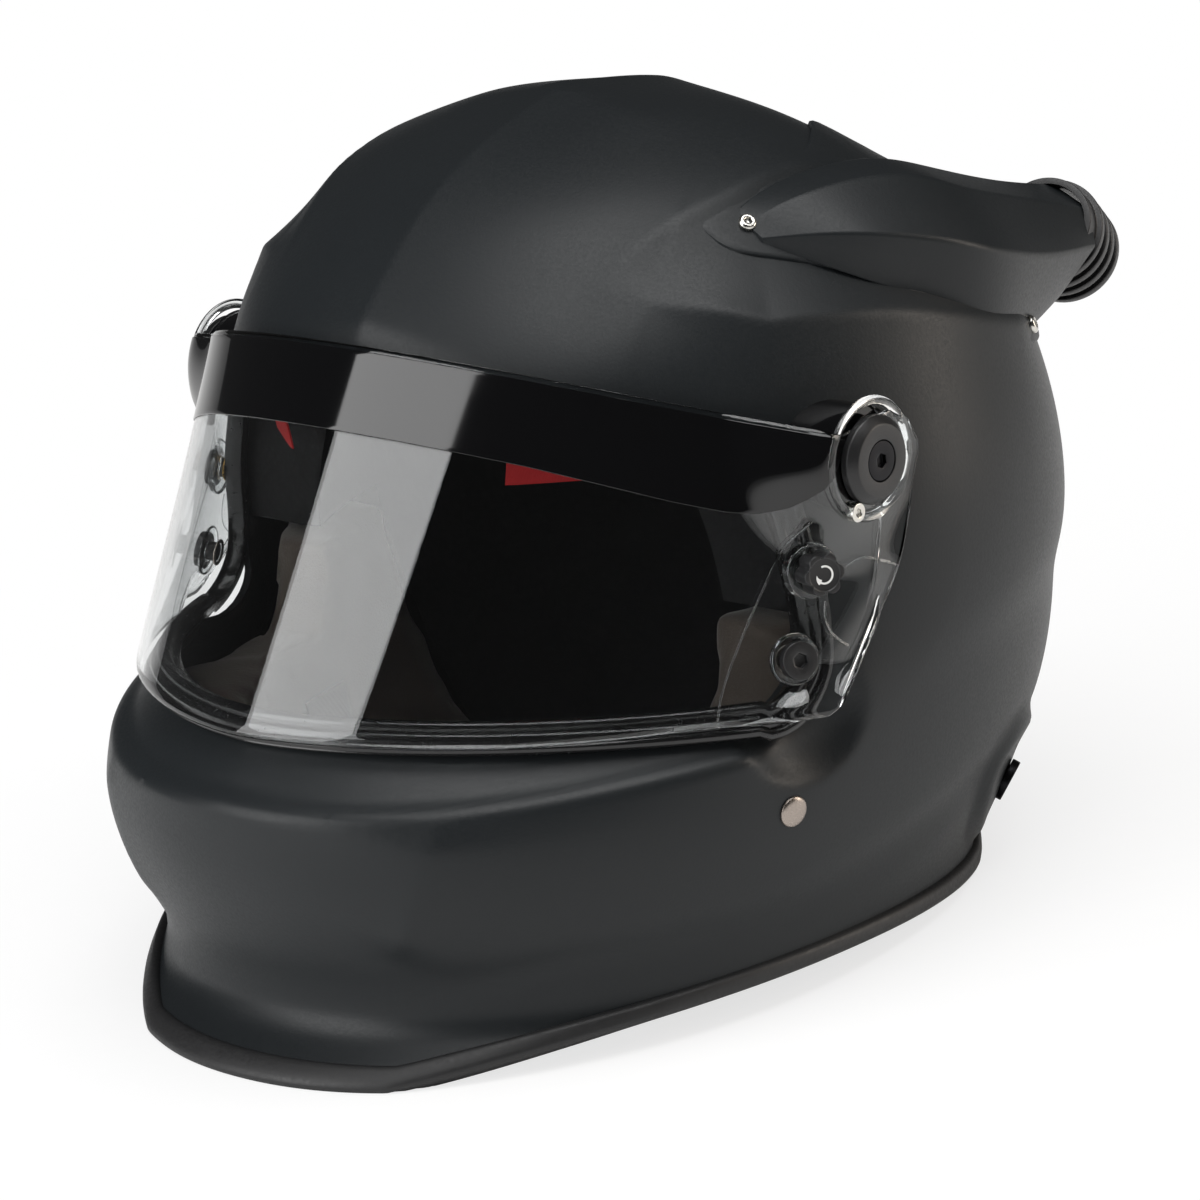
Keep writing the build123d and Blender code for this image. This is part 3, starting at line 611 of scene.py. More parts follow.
columns, rows = ((400, 190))
outer = shell_grid(columns, rows, 0.0)
inner = shell_grid(columns, rows, -WALL)
places = np.vstack([outer.reshape(-1, 3), inner.reshape(-1, 3),
                    outer[-1].mean(0), inner[-1].mean(0)])
half = columns * rows
ring = np.arange(columns)
after = np.roll(ring, -1)
sides = grid_faces(rows, columns, wrap_columns=True)
faces = np.vstack([sides, sides[:, ::-1] + half,
                   np.stack([ring, ring + half, after + half, after], -1)])
top = half - columns
caps = np.vstack([np.stack([top + ring, top + after, np.full(columns, 2 * half)], -1),
                  np.stack([half + top + after, half + top + ring,
                            np.full(columns, 2 * half + 1)], -1)])
shell_mesh = bpy.data.meshes.new("shell")
shell_mesh.from_pydata((places * SCALE).tolist(), [], faces.tolist() + caps.tolist())
shell = add_object("shell", shell_mesh)
cut(shell, eyeport_block())
shade(shell, 34)
seat(shell, PAINT, "helmet", "outer_shell", slot="shell_paint")
print("shell faces", len(shell.data.polygons))

# %% [markdown]
# Screws, knobs, rivets and the hose spigot are all turned parts. Each is a profile of radii and
# heights carried round an axis. Small curves at its corners catch the light as real edges do.

# %% Turned parts
def soften(points, radius, count=4):
    """Profile whose inner corners become short curves: (1-t)2 a + 2t(1-t) corner + t2 b"""
    points = np.array(points, float)
    share = np.linspace(0, 1, count)[:, None]
    made = [points[:1]]
    for before, corner, after in zip(points[:-2], points[1:-1], points[2:]):
        back, ahead = before - corner, after - corner
        reach = min(radius, 0.45 * np.linalg.norm(back), 0.45 * np.linalg.norm(ahead))
        start = corner + back / np.linalg.norm(back) * reach
        stop = corner + ahead / np.linalg.norm(ahead) * reach
        made.append((1 - share) ** 2 * start + 2 * share * (1 - share) * corner
                    + share ** 2 * stop)
    return np.vstack(made + [points[-1:]])


def axes_of(out):
    """Unit direction out, the direction up square to it, and the one across"""
    out = np.array(out, float) / np.linalg.norm(out)
    upright = np.array([0, 0, 1.0]) - out * out[2]
    upright /= np.linalg.norm(upright)
    return out, upright, np.cross(upright, out)


def lathe(name, profile, place, out, lobes=0, depth=0.0, hexed=0.0, spokes=96, ring=False):
    """Radius and height of a profile carried round an axis; lobes press the radius in by
    depth times a cosine wave, and rings no wider than hexed are hexagons"""
    out, upright, across = axes_of(out)
    turn = np.linspace(0, TURN, spokes, endpoint=False)
    radius, rise = np.array(profile, float)[:, :1], np.array(profile, float)[:, 1:]
    widest = radius.max()
    wave = depth * (0.5 + 0.5 * np.cos(lobes * turn)) ** 2
    wave = wave * ease(radius, 0.8 * widest, 0.9 * widest)
    six = math.cos(math.pi / 6) / np.cos(turn % (math.pi / 3) - math.pi / 6)
    radius = radius * (1 - wave) * np.where(radius <= hexed, six, 1)
    arm = np.cos(turn)[:, None] * upright + np.sin(turn)[:, None] * across
    places = np.asarray(place) + radius[..., None] * arm + rise[..., None] * out
    piece = make_object(name, places, grid_faces(len(rise), spokes, ring, True))
    tidy(piece)
    shade(piece)
    return piece


def turned(node_name, profile, place, out, material, body, **shape):
    """Turned piece that stands for the CAD node of its name"""
    piece = lathe(node_name + "_look", profile, place, out, **shape)
    return seat(piece, material, body, node_name)


def skin_spot(y, level, out, side=1):
    """Place on the skin seen from the side, moved out, and the direction out of it"""
    turn, climb = turn_at(y + SHIFT, level, side), climb_at(level)
    return skin(turn, climb, out), skin_normal(turn, climb)


# %% [markdown]
# The pivots lie on one axis across the helmet, so the caps are turned round the X direction
# instead of square to the skin. The cap has a bevel and a sink for its hex socket screw.

# %% Pivot caps and screws
PIVOT_Y, PIVOT_Z, EAR_OUT = -14.8, 159.7, 129.6
for side, word in ((1, "left"), (-1, "right")):
    hub = (0, PIVOT_Y + SHIFT, PIVOT_Z)
    base = [(0, EAR_OUT - 20), (15.6, EAR_OUT - 20), (15.6, EAR_OUT - 3.0), (6.0, EAR_OUT - 3.0),
            (6.0, EAR_OUT + 0.2), (0, EAR_OUT + 0.2)]
    turned("pivot_base_" + word, soften(base, 0.4), hub, (side, 0, 0), GLOSS, "helmet")
    start, top = EAR_OUT + 0.3, EAR_OUT + 4.9
    cap = [(0, start), (13.2, start), (13.2, top - 2.3), (10.8, top), (6.2, top), (6.2, top - 1.8),
           (0, top - 1.8)]
    turned("pivot_cap_" + word, soften(cap, 0.35), hub, (side, 0, 0), PLASTIC, "helmet")
    screw = [(0, top - 1.8), (5.9, top - 1.8), (5.9, top - 0.2), (2.3, top - 0.2),
             (2.3, top - 1.7), (0, top - 1.7)]
    turned("pivot_screw_" + word, soften(screw, 0.25), hub, (side, 0, 0), STEEL, "helmet",
           hexed=2.4)
print("pivot hardware made")

# %% [markdown]
# The lock knob, the tear-off posts, the strap rivets and the anchor plugs sit square to the
# skin, each with its own profile. The knob is lobed so that a gloved finger can turn it.

# %% Knob, posts, rivets and plugs
LENS_IN, LENS_OUT = 3.8, 6.3
STRIP_IN, STRIP_OUT = 6.35, 6.75
KNOB, POST = (-34.3, 130.8), (-43.8, 105.7)
RIVET, PLUG = (-52.8, 62.3), (68.7, 28.1)
RIVET_RADIUS = 4.75
knob = soften([(0, -3.4), (4.2, -3.4), (4.2, -2.9), (3, -2.9), (3, 3.4), (6.4, 3.4), (6.4, 10.8),
               (5.0, 10.8), (4.7, 10.4), (0, 10.4)], 0.5)
place, out = skin_spot(*KNOB, LENS_OUT)
turned("lock_knob", knob, place, out, PLASTIC, "lock", lobes=6, depth=0.2)


def post_profile(base):
    """Button with a hex socket on a shaft that ends in a flange behind the lens"""
    top = base + 3.3
    return soften([(0, -3.3), (3, -3.3), (3, base + 0.3), (5.6, base + 0.3), (5.6, top),
                   (2.3, top), (2.3, top - 1.6), (0, top - 1.6)], 0.4)


def turn_arrow(place, out, height):
    """Arrow on the knob's face: a band round three quarters of a circle, with a pointed end"""
    out, upright, across = axes_of(out)
    turn = np.radians(np.linspace(-15, 275, 60))[:, None]
    share = np.linspace(0, 1, 60)[:, None]
    half = np.where(share < 0.8, 0.28, 0.9 * (1 - share) / 0.2 + 0.02)
    radius = 2.5 + half * np.array([-1, 1, 1, -1])
    rise = height + 0.08 * np.array([-1, -1, 1, 1]) + 0 * turn
    grid = (np.asarray(place) + radius[..., None] * (np.cos(turn)[..., None] * upright
            + np.sin(turn)[..., None] * across) + rise[..., None] * out)
    piece = make_object("knob_arrow", grid, grid_faces(60, 4, False, True))
    tidy(piece, fill=True)
    return seat(piece, MARK, "lock")


turn_arrow(*skin_spot(*KNOB, LENS_OUT), 10.45)
nut = soften([(3.0, -3.8), (4.2, -3.8), (4.2, -3.3), (3.0, -3.3)], 0.15)
for side, word in ((1, "left"), (-1, "right")):
    place, out = skin_spot(*POST, LENS_OUT, side)
    turned("tear_off_post_" + word, post_profile(2.2), place, out, PLASTIC, "shield", hexed=2.4)
    turned("tear_off_nut_" + word, nut, place, out, NICKEL, "shield", ring=True)
    place, out = skin_spot(*RIVET, 0.0, side)
    bend = np.linspace(0, math.pi / 2, 9)
    dome = np.stack([RIVET_RADIUS * np.sin(bend), 0.35 + 1.2 * np.cos(bend)], -1)
    rivet = np.vstack([dome, [(RIVET_RADIUS, -0.3), (0, -0.3)]])
    turned("strap_rivet_" + word, rivet, place, out, NICKEL, "helmet")
    place, out = skin_spot(*PLUG, PAD_TALL, side)
    plug = soften([(0, -1), (6.6, -1), (6.6, 1.6), (2.6, 1.6), (2.6, -0.4), (0, -0.4)], 0.4)
    turned("anchor_plug_" + word, plug, place, out, STEEL, "helmet", hexed=2.7)
place, out = skin_spot(*KNOB, LENS_OUT, -1)
turned("upper_post_right", post_profile(3.0), place, out, PLASTIC, "shield", hexed=2.4)
turned("upper_post_nut_right", nut, place, out, BRASS, "shield", ring=True)
print("knob", KNOB, "post", POST)

# %% [markdown]
# The shield, its strip, the rubber seal and the edge trim follow the skin at fixed distances.
# A line drawn from the side gives their edges: at each turn the level is corrected again and
# again until the place on the skin lies on that line.

# %% Bands on the skin
def level_on(line, turn):
    """Level where a line seen from the side crosses each turn"""
    line = np.array(line, float)
    level = np.full(np.shape(turn), 130.0)
    for _ in range(40):
        y = bare_skin(turn, climb_at(level))[..., 1] - SHIFT
        level = 0.5 * level + 0.5 * np.interp(y, line[:, 0], line[:, 1])
    return level


LENS_LOW = [(FAR_Y, 102.5), (-149.4, 98.8), (-118.6, 95.3), (-76.1, 92.6), (-64.6, 91.2),
            (-52.8, 89.2), (-42, 88.8), (-33, 91.4), (-25, 98), (-18.8, 107.5),
            (-8.8, 123), (1.6, 140), (9, 156)]
LENS_HIGH = [(FAR_Y, 249), (-23.2, 167.5), (-15.2, 167.3), (-1.6, 169), (5.7, 164), (9, 156)]


FLARE = 6.0


def finger_flare(turn, rise, low):
    """How far the lower corner stands out for a finger: S-shaped steps along it and up it"""
    y = bare_skin(turn, climb_at(low))[..., 1] - SHIFT
    return FLARE * ease(rise, 13.0, 0.0) * ease(y, -66, -50) * ease(y, -15, -25)


def shield_surface(turn, level, out):
    """Parabola up each turn through three places on the skin, drawn out to the pivot's ear:
    place = low (2s-1)(s-1) + middle 4s(1-s) + high s(2s-1), s from 0 to 1"""
    low, high = level_on(LENS_LOW, turn), level_on(LENS_HIGH, turn)
    share = ((level - low) / np.maximum(high - low, 1))[..., None]
    weights = ((2 * share - 1) * (share - 1), 4 * share * (1 - share), share * (2 * share - 1))
    climbs = [climb_at(one) for one in (low, (low + high) / 2, high)]
    place = sum(weight * bare_skin(turn, climb) for weight, climb in zip(weights, climbs))
    normal = sum(weight * skin_normal(turn, climb) for weight, climb in zip(weights, climbs))
    normal /= np.linalg.norm(normal, axis=-1, keepdims=True)
    out = out + finger_flare(turn, level - low, low)
    place = place + normal * out[..., None]
    near = np.hypot(place[..., 1] - PIVOT_Y - SHIFT, place[..., 2] - PIVOT_Z)
    pull = ease(near, 36, 17)
    ear = np.sign(turn) * (EAR_OUT - LENS_OUT + out)
    place[..., 0] = place[..., 0] * (1 - pull) + ear * pull
    return place


def shield_band(name, turn, low, high, inner, outer, rows):
    """Sheet of even thickness on the shield between two levels, with rounded edges"""
    half, middle = (outer - inner) / 2, (outer + inner) / 2
    share = np.linspace(0, 1, rows)
    bend = np.linspace(0, math.pi, 7)[1:-1]
    loop_share = np.concatenate([share, np.ones(5), share[::-1], np.zeros(5)])[:, None]
    loop_out = np.concatenate([np.full(rows, outer), middle + half * np.cos(bend),
                               np.full(rows, inner), middle - half * np.cos(bend)])[:, None]
    loop_lift = np.concatenate([np.zeros(rows), half * np.sin(bend),
                                np.zeros(rows), -half * np.sin(bend)])[:, None]
    level = low + (high - low) * loop_share + loop_lift
    places = shield_surface(turn, level, loop_out + 0 * level)
    piece = make_object(name, places, grid_faces(len(loop_share), len(turn), True))
    tidy(piece, fill=True)
    shade(piece, 50)
    return piece


lens_end = float(turn_at(8.5 + SHIFT, 156.0))
lens_turn = lens_end * np.sin(np.linspace(-math.pi / 2, math.pi / 2, 281))
lens = shield_band("shield_lens_look", lens_turn, level_on(LENS_LOW, lens_turn),
                   level_on(LENS_HIGH, lens_turn), LENS_IN, LENS_OUT, 60)
seat(lens, LENS, "shield", "shield_lens", slot="clear_lens")
STRIP_LOW = [(FAR_Y, 221.5), (-107.4, 179.2), (-97.7, 175.1), (-84.4, 168.9), (-61, 156.1),
             (-51, 151.4), (-45, 149.6), (-40, 150.6), (-30.3, 157.5), (-25, 163), (-22, 167)]
strip_end = float(turn_at(-22.6 + SHIFT, 167.0))
strip_turn = strip_end * np.sin(np.linspace(-math.pi / 2, math.pi / 2, 241))
strip = shield_band("sun_strip_look", strip_turn, level_on(STRIP_LOW, strip_turn),
                    level_on(LENS_HIGH, strip_turn) - 0.6, STRIP_IN, STRIP_OUT, 24)
seat(strip, GLOSS, "shield", "sun_strip", slot="black_strip")
print("lens ends at turn", round(math.degrees(lens_end), 1))

# %% [markdown]
# Each ear of the shield is dished: a clear rim stands round the cap. The bosses round knob and
# posts are clear rings as well, turned like the screws.

# %% Rims and bosses of the shield
RIDGES = ([(62.5, 145.8), (60.2, 131.8), (58.6, 116.1), (58.5, 100.4), (59.9, 90.5)],
          [(68.9, 129.2), (70.8, 130.6), (73.4, 128.4), (75.8, 125.4)],
          [(67.2, 121), (67.7, 116.4), (69.3, 111.1), (72.2, 106.1)])


def bead(name, line, radius, side):
    """Thin moulded ridge: a flattened round along a smooth line of turns and levels"""
    line = np.array(line, float)
    turn, level = smooth_curve(np.linspace(0, 1, len(line)), line)(np.linspace(0, 1, 40)).T
    turn = side * np.radians(turn)
    places = shield_surface(turn, level, LENS_OUT + 0 * turn)
    out = skin_normal(turn, climb_at(level))
    across = np.cross(np.gradient(places, axis=0), out)
    across /= np.linalg.norm(across, axis=1, keepdims=True)
    bend = np.linspace(0, TURN, 10, endpoint=False)[None, :, None]
    oval = np.cos(bend) * across[:, None] + 0.7 * np.sin(bend) * out[:, None]
    grid = places[:, None] + radius * oval
    piece = make_object(name, grid, grid_faces(40, 10, False, True))
    tidy(piece, fill=True)
    return piece


for side, word in ((1, "left"), (-1, "right")):
    rim = soften([(15.6, EAR_OUT - 0.4), (18.8, EAR_OUT - 0.4), (18.3, EAR_OUT + 1.0),
                  (17.3, EAR_OUT + 1.6), (16.3, EAR_OUT + 1.0), (15.6, EAR_OUT - 0.4)], 0.8)
    seat(lathe("shield_rim_" + word, rim, (0, PIVOT_Y + SHIFT, PIVOT_Z), (side, 0, 0), ring=True),
         LENS, "shield")
    for (y, level), radius, tall in ((KNOB, 8.0, 3.0), (POST, 7.4, 2.2)):
        place, out = skin_spot(y, level, LENS_OUT, side)
        boss = soften([(3.5, -0.3), (radius + 0.6, -0.3), (radius, tall), (3.5, tall),
                       (3.5, -0.3)], 0.6)
        seat(lathe("shield_boss_%s_%d" % (word, level), boss, place, out, ring=True), LENS,
             "shield")
    stop = soften([(0, EAR_OUT - 0.4), (2.9, EAR_OUT - 0.4), (2.9, EAR_OUT + 2.2),
                   (1.3, EAR_OUT + 2.2), (1.3, EAR_OUT + 1.2), (0, EAR_OUT + 1.2)], 0.4)
    seat(lathe("shield_stop_" + word, stop, (0, -24.0 + SHIFT, 146.4), (side, 0, 0), hexed=1.4,
               spokes=48), CHROME, "shield")
    for number, line in enumerate(RIDGES):
        seat(bead("shield_ridge_%s_%d" % (word, number), line, 0.35, side), LENS, "shield")
print("ears, bosses and fine ridges made")

# %% [markdown]
# The seal is one closed loop of rubber round the eyeport with three soft ridges that the
# shield presses on. Its path is the side outline of the eyeport laid on the skin, and its
# profile is carried along that path.

# %% Eyeport seal
def eyeport_path(count):
    """Closed path of turns and levels: low edge, left end, top edge, right end"""
    low_line = [(FAR_Y, EYE_LOW_FAR), (EYE_REAR, EYE_LOW)]
    high_line = [(FAR_Y, EYE_HIGH_FAR), (EYE_REAR, EYE_HIGH)]
    bend = np.linspace(0, math.pi / 2, 12)
    end_y = EYE_REAR - EYE_CORNER + EYE_CORNER * np.concatenate([np.sin(bend), np.cos(bend)])
    end_z = np.concatenate([EYE_LOW + EYE_CORNER + 1 - EYE_CORNER * np.cos(bend),
                            EYE_HIGH - EYE_CORNER + 5 + EYE_CORNER * np.sin(bend)])
    end_turn = turn_at(end_y + SHIFT, end_z)
    low_turn = np.linspace(-end_turn[0], end_turn[0], 90)[1:-1]
    high_turn = np.linspace(end_turn[-1], -end_turn[-1], 90)[1:-1]
    turn = np.concatenate([low_turn, end_turn, high_turn, -end_turn[::-1]])
    level = np.concatenate([level_on(low_line, low_turn), end_z, level_on(high_line, high_turn),
                            end_z[::-1]])
    places = bare_skin(turn, climb_at(level))
    far = np.linalg.norm(np.diff(np.vstack([places, places[:1]]), axis=0), axis=1)
    along = np.concatenate([[0], np.cumsum(far)])
    even = np.linspace(0, along[-1], count, endpoint=False)
    return (np.interp(even, along, np.append(turn, turn[0])),
            np.interp(even, along, np.append(level, level[0])))


def carry(name, turn, level, profile, sharp=50):
    """Closed profile of (towards the opening, out) carried along a closed path on the skin"""
    climb = climb_at(level)
    places, out = bare_skin(turn, climb), skin_normal(turn, climb)
    ahead = np.roll(places, -1, 0) - np.roll(places, 1, 0)
    inward = np.cross(out, ahead)
    inward /= np.linalg.norm(inward, axis=1, keepdims=True)
    profile = np.array(profile, float)
    grid = (places + profile[:, 0][:, None, None] * inward
            + profile[:, 1][:, None, None] * out)
    piece = make_object(name, grid, grid_faces(len(profile), len(turn), True, True))
    tidy(piece)
    shade(piece, sharp)
    return piece


across = np.linspace(-6.5, 3.8, 40)
ridge = 1.5 + 0.9 * np.abs(np.sin(math.pi * (across + 6.5) / 3.45)) * ease(across, -6.5, -5.5)
seal_profile = np.vstack([np.stack([across, ridge], -1),
                          soften([(3.8, 1.5), (4.4, 0), (4.4, -4.2), (0.4, -4.2), (0.4, 0.1),
                                  (-6.5, 0.1)], 0.5)])
path_turn, path_level = eyeport_path(520)
seal = carry("eyeport_gasket_look", path_turn, path_level, seal_profile)
seat(seal, SEAL, "helmet", "eyeport_gasket", slot="gasket_rubber")
print("seal path", len(path_turn), "steps")

# %% [markdown]
# The edge trim is a rounded rubber bead along the shell's lower edge. Its profile is a soft
# rectangle, and its path is the rim: at each turn the rim's level is found first.

# %% Edge trim
turn = np.linspace(0, TURN, 480, endpoint=False)
bend = np.linspace(0, TURN, 28, endpoint=False)
lift = 3.0 + 3.0 * np.sign(np.sin(bend)) * np.abs(np.sin(bend)) ** 0.6
reach = -1.4 + 3.6 * np.sign(np.cos(bend)) * np.abs(np.cos(bend)) ** 0.6
rim_places = bare_skin(turn, rim_climb(turn, 0.0))
rim = rim_level(rim_places[:, 1])
climb = climb_at(np.maximum(rim + lift[:, None], 0))
trim_places = skin(turn + 0 * climb, climb, reach[:, None] + 0 * climb)
trim_places[..., 2] = np.maximum(trim_places[..., 2], 0)
trim = make_object("edge_trim_look", trim_places, grid_faces(len(bend), len(turn), True, True))
tidy(trim)
shade(trim, 60)
seat(trim, TRIM, "helmet", "edge_trim", slot="trim_rubber")
print("trim from", round(rim.min(), 1), "to", round(rim.max() + 6, 1), "mm")

# %% [markdown]
# The air duct is a faceted hood. Five-cornered sections stand along it, their corners are
# rounded a little, and a smooth curve joins each point to the next section. The flange under
# it is a patch of the skin, drawn from its middle out to its border.

# %% Air duct
DUCT_LOOPS = np.array([
    [(0.68, -0.03, 0.868), (0.68, -0.03, 0.876), (0.64, -0.03, 0.89), (0.6, -0.03, 0.902),
     (0.59, -0.03, 0.89)],
    [(0.81, 0.07, 0.82), (0.81, 0.065, 0.872), (0.7, 0.06, 0.912), (0.62, 0.07, 0.922),
     (0.57, 0.08, 0.89)],
    [(0.87, 0.18, 0.775), (0.9, 0.18, 0.852), (0.77, 0.23, 0.912), (0.66, 0.24, 0.922),
     (0.5, 0.24, 0.9)],
    [(0.9, 0.33, 0.71), (0.955, 0.335, 0.812), (0.82, 0.39, 0.872), (0.68, 0.42, 0.886),
     (0.47, 0.4, 0.86)],
    [(0.83, 0.52, 0.66), (0.86, 0.6, 0.75), (0.76, 0.65, 0.806), (0.64, 0.68, 0.818),
     (0.48, 0.61, 0.78)]]) * (HALF, REAR, HEIGHT) + (0, SHIFT, 0)
MOUTH = np.array([84.8, 131.0 + SHIFT, 184.8])
MOUTH_OUT = np.array([-0.32, 0.745, -0.58])
MOUTH_OUT /= np.linalg.norm(MOUTH_OUT)
mouth_across = np.array([MOUTH_OUT[1], -MOUTH_OUT[0], 0]) / np.hypot(MOUTH_OUT[0], MOUTH_OUT[1])
mouth_down = np.cross(MOUTH_OUT, mouth_across)
MOUTH_REACH = 16.5
MOUTH_SHARES = np.array([(0.3, 1.45), (0.95, 0.4), (0.75, -0.35), (0.0, -0.85), (-1.0, 0.1)])
end_loop = MOUTH + MOUTH_REACH * (MOUTH_SHARES[:, :1] * mouth_across
                                  + MOUTH_SHARES[:, 1:] * mouth_down)
corners = np.concatenate([DUCT_LOOPS, end_loop[None]])


def round_corners(loops, share, count):
    """Each corner becomes the curve (1-t)2 a + 2t(1-t) corner + t2 b between its neighbours"""
    before, after = np.roll(loops, 1, 1), np.roll(loops, -1, 1)
    start, stop = loops + (before - loops) * share, loops + (after - loops) * share
    t = np.linspace(0, 1, count)[:, None]
    made = ((1 - t) ** 2 * start[:, :, None] + 2 * t * (1 - t) * loops[:, :, None]
            + t ** 2 * stop[:, :, None])
    return made.reshape(len(loops), -1, 3)


loops = round_corners(corners, 0.07, 5)
stations = np.array([0.0, 0.8, 1.7, 2.9, 4.3, 5.2])
curve = smooth_curve(stations, loops.reshape(len(loops), -1))
hood_grid = curve(np.linspace(0, stations[-1], 60)).reshape(60, -1, 3)
hood = make_object("duct_hood_look", hood_grid, grid_faces(60, hood_grid.shape[1], False, True))
tidy(hood, fill=True)
shade(hood, 28)
seat(hood, PAINT, "helmet", "duct_cover", slot="shell_paint")

FLANGE = np.array([(-0.105, 0.9), (0.1, 0.92), (0.3, 0.93), (0.42, 0.92), (0.58, 0.86),
                   (0.66, 0.74), (0.6, 0.64), (0.51, 0.65), (0.35, 0.71), (0.22, 0.755), (0.127, 0.8),
                   (0.03, 0.835), (-0.09, 0.865)]) * (REAR, HEIGHT)
border = np.stack([turn_at(FLANGE[:, 0] + SHIFT, FLANGE[:, 1]), climb_at(FLANGE[:, 1])], -1)
border = round_corners(np.pad(border, ((0, 0), (0, 1)))[None], 0.3, 9)[0, :, :2]
middle = border.mean(0)
share = np.array([0, 0.2, 0.4, 0.6, 0.8, 0.9, 0.96, 0.985, 1.0, 1.0])[:, None]
rise = np.array([2.3, 2.3, 2.3, 2.3, 2.3, 2.3, 2.3, 2.1, 1.5, -0.5])[:, None]
grid = middle + (border - middle) * share[..., None]
flange_grid = skin(grid[..., 0], grid[..., 1], rise + 0 * grid[..., 0])
flange = make_object("duct_flange_look", flange_grid,
                     grid_faces(len(share), len(border), False, True))
tidy(flange)
shade(flange, 40)
seat(flange, PAINT, "helmet")

BORE, TUBE, RIB = 12.5, 14.6, 16.5
SPOUT_LONG, RIB_COUNT, RIB_WIDE, SUNK = 25, 4, 3, 4
spout = [(BORE, -SUNK), (TUBE, -SUNK)]
for k in range(RIB_COUNT):
    top = SPOUT_LONG / RIB_COUNT * (k + 1)
    spout += [(TUBE, top - RIB_WIDE), (RIB, top - RIB_WIDE), (RIB, top), (TUBE, top)]
spout = spout[:-1] + [(BORE, SPOUT_LONG), (BORE, -SUNK)]
turned("duct_spout", soften(spout, 0.6), MOUTH, MOUTH_OUT, PLASTIC, "helmet", ring=True)
DUCT_SCREWS = ((-3.96, 221.0), (87.45, 167.5))
for number, (y, level) in enumerate(DUCT_SCREWS):
    place, out = skin_spot(y, level, 2.3)
    head = soften([(0, -0.5), (2.8, -0.5), (2.8, 1.0), (2.2, 1.7), (1.2, 1.7), (1.2, 0.6),
                   (0, 0.6)], 0.3)
    screw = lathe("duct_screw_%d" % number, head, place, out, hexed=1.3, spokes=48)
    seat(screw, CHROME, "helmet", *(["duct_screws"] if number == 0 else []))
print("duct from", hood_grid[0].mean(0).round(0), "to", MOUTH.round(0))

# %% [markdown]
# Pads are filled cloth. Each copy of the CAD pad is remeshed into even cells, and a cloth
# simulation with a little inner pressure and no gravity rounds it off. The movement is capped
# so that a pad stays in its place.

# %% Pads
VOXEL, FILL, PRESSURE, FRAMES = 0.005, 0.6, 4.0, 20
PRESS, PRESS_FAR, PRESS_NEAR = 11, 50, 24


def blow(pad, cap):
    """Cloth with inner pressure and no gravity, run for its frames, then capped in its reach"""
    rest = np.empty(len(pad.data.vertices) * 3)
    pad.data.vertices.foreach_get("co", rest)
    cloth = pad.modifiers.new("fill", "CLOTH")
    cloth.settings.use_pressure, cloth.settings.uniform_pressure_force = True, PRESSURE
    cloth.settings.effector_weights.gravity = 0
    cloth.point_cache.frame_start, cloth.point_cache.frame_end = 1, FRAMES
    for moment in range(1, FRAMES + 1):
        bpy.context.scene.frame_set(moment)
    bpy.ops.object.modifier_apply(modifier=cloth.name)
    bpy.context.scene.frame_set(1)
    moved = np.empty_like(rest)
    pad.data.vertices.foreach_get("co", moved)
    move = (moved - rest).reshape(-1, 3)
    length = np.linalg.norm(move, axis=1, keepdims=True)
    move *= np.minimum(1, cap * SCALE / np.maximum(length, 1e-9))
    pad.data.vertices.foreach_set("co", (rest.reshape(-1, 3) + move).ravel())


def stuffed(node_name, material, cap):
    """Soft copy of a CAD pad: voxel remesh, room for the hollow, pressure, one subdivision"""
    node = frame["nodes"][node_name]
    mesh = node.data.copy()
    mesh.transform(node.matrix_world)
    pad = add_object(node_name + "_look", mesh)
    select_only(pad)
    remesh = pad.modifiers.new("even", "REMESH")
    remesh.mode, remesh.voxel_size = "VOXEL", VOXEL
    bpy.ops.object.modifier_apply(modifier=remesh.name)
    rest = np.empty(len(pad.data.vertices) * 3)
    pad.data.vertices.foreach_get("co", rest)
    places = rest.reshape(-1, 3)
    mirrored = np.abs(places) * (1, 0, 0) + places * (0, 1, 1)
    near = np.linalg.norm(mirrored / SCALE - HOLLOW, axis=1)
    places[:, 0] -= np.sign(places[:, 0]) * PRESS * SCALE * ease(near, PRESS_FAR, PRESS_NEAR)
    pad.data.vertices.foreach_set("co", rest)
    blow(pad, cap)
    smooth = pad.modifiers.new("round", "SUBSURF")
    smooth.levels = smooth.render_levels = 1
    select_only(pad)
    bpy.ops.object.modifier_apply(modifier=smooth.name)
    bpy.ops.object.shade_smooth()
    seat(pad, material, "helmet", node_name)
    return pad


for name, material, cap in (("cheek_pad_left", LINING, 2.0), ("cheek_pad_right", LINING, 2.0),
                            ("brow_pad", DARK, 1.0), ("crown_pad", DARK, 1.0),
                            ("chin_pad", LINING, 1.0), ("neck_roll", ROLL, 1.5)):
    pad = stuffed(name, material, cap)
    print(name, len(pad.data.vertices), "vertices")

# %% [markdown]
# Ribbons are thin sheets: a path with a width. The chin strap runs from its rivet down, under
# the cheek pad and up again; the red tabs hang from the brow and curl slightly.

# %% Straps and tabs
STRAP_WIDE, STRAP_THICK = 22.0, 1.8
TAB_X, TAB_ROOT, TAB_TOP, TAB_LONG = 62.0, 190.0, 183.0, 17.0
TAB_IN, TAB_LEAN, TAB_WIDE, TAB_THICK = 7.0, 12.0, 28.0, 1.2


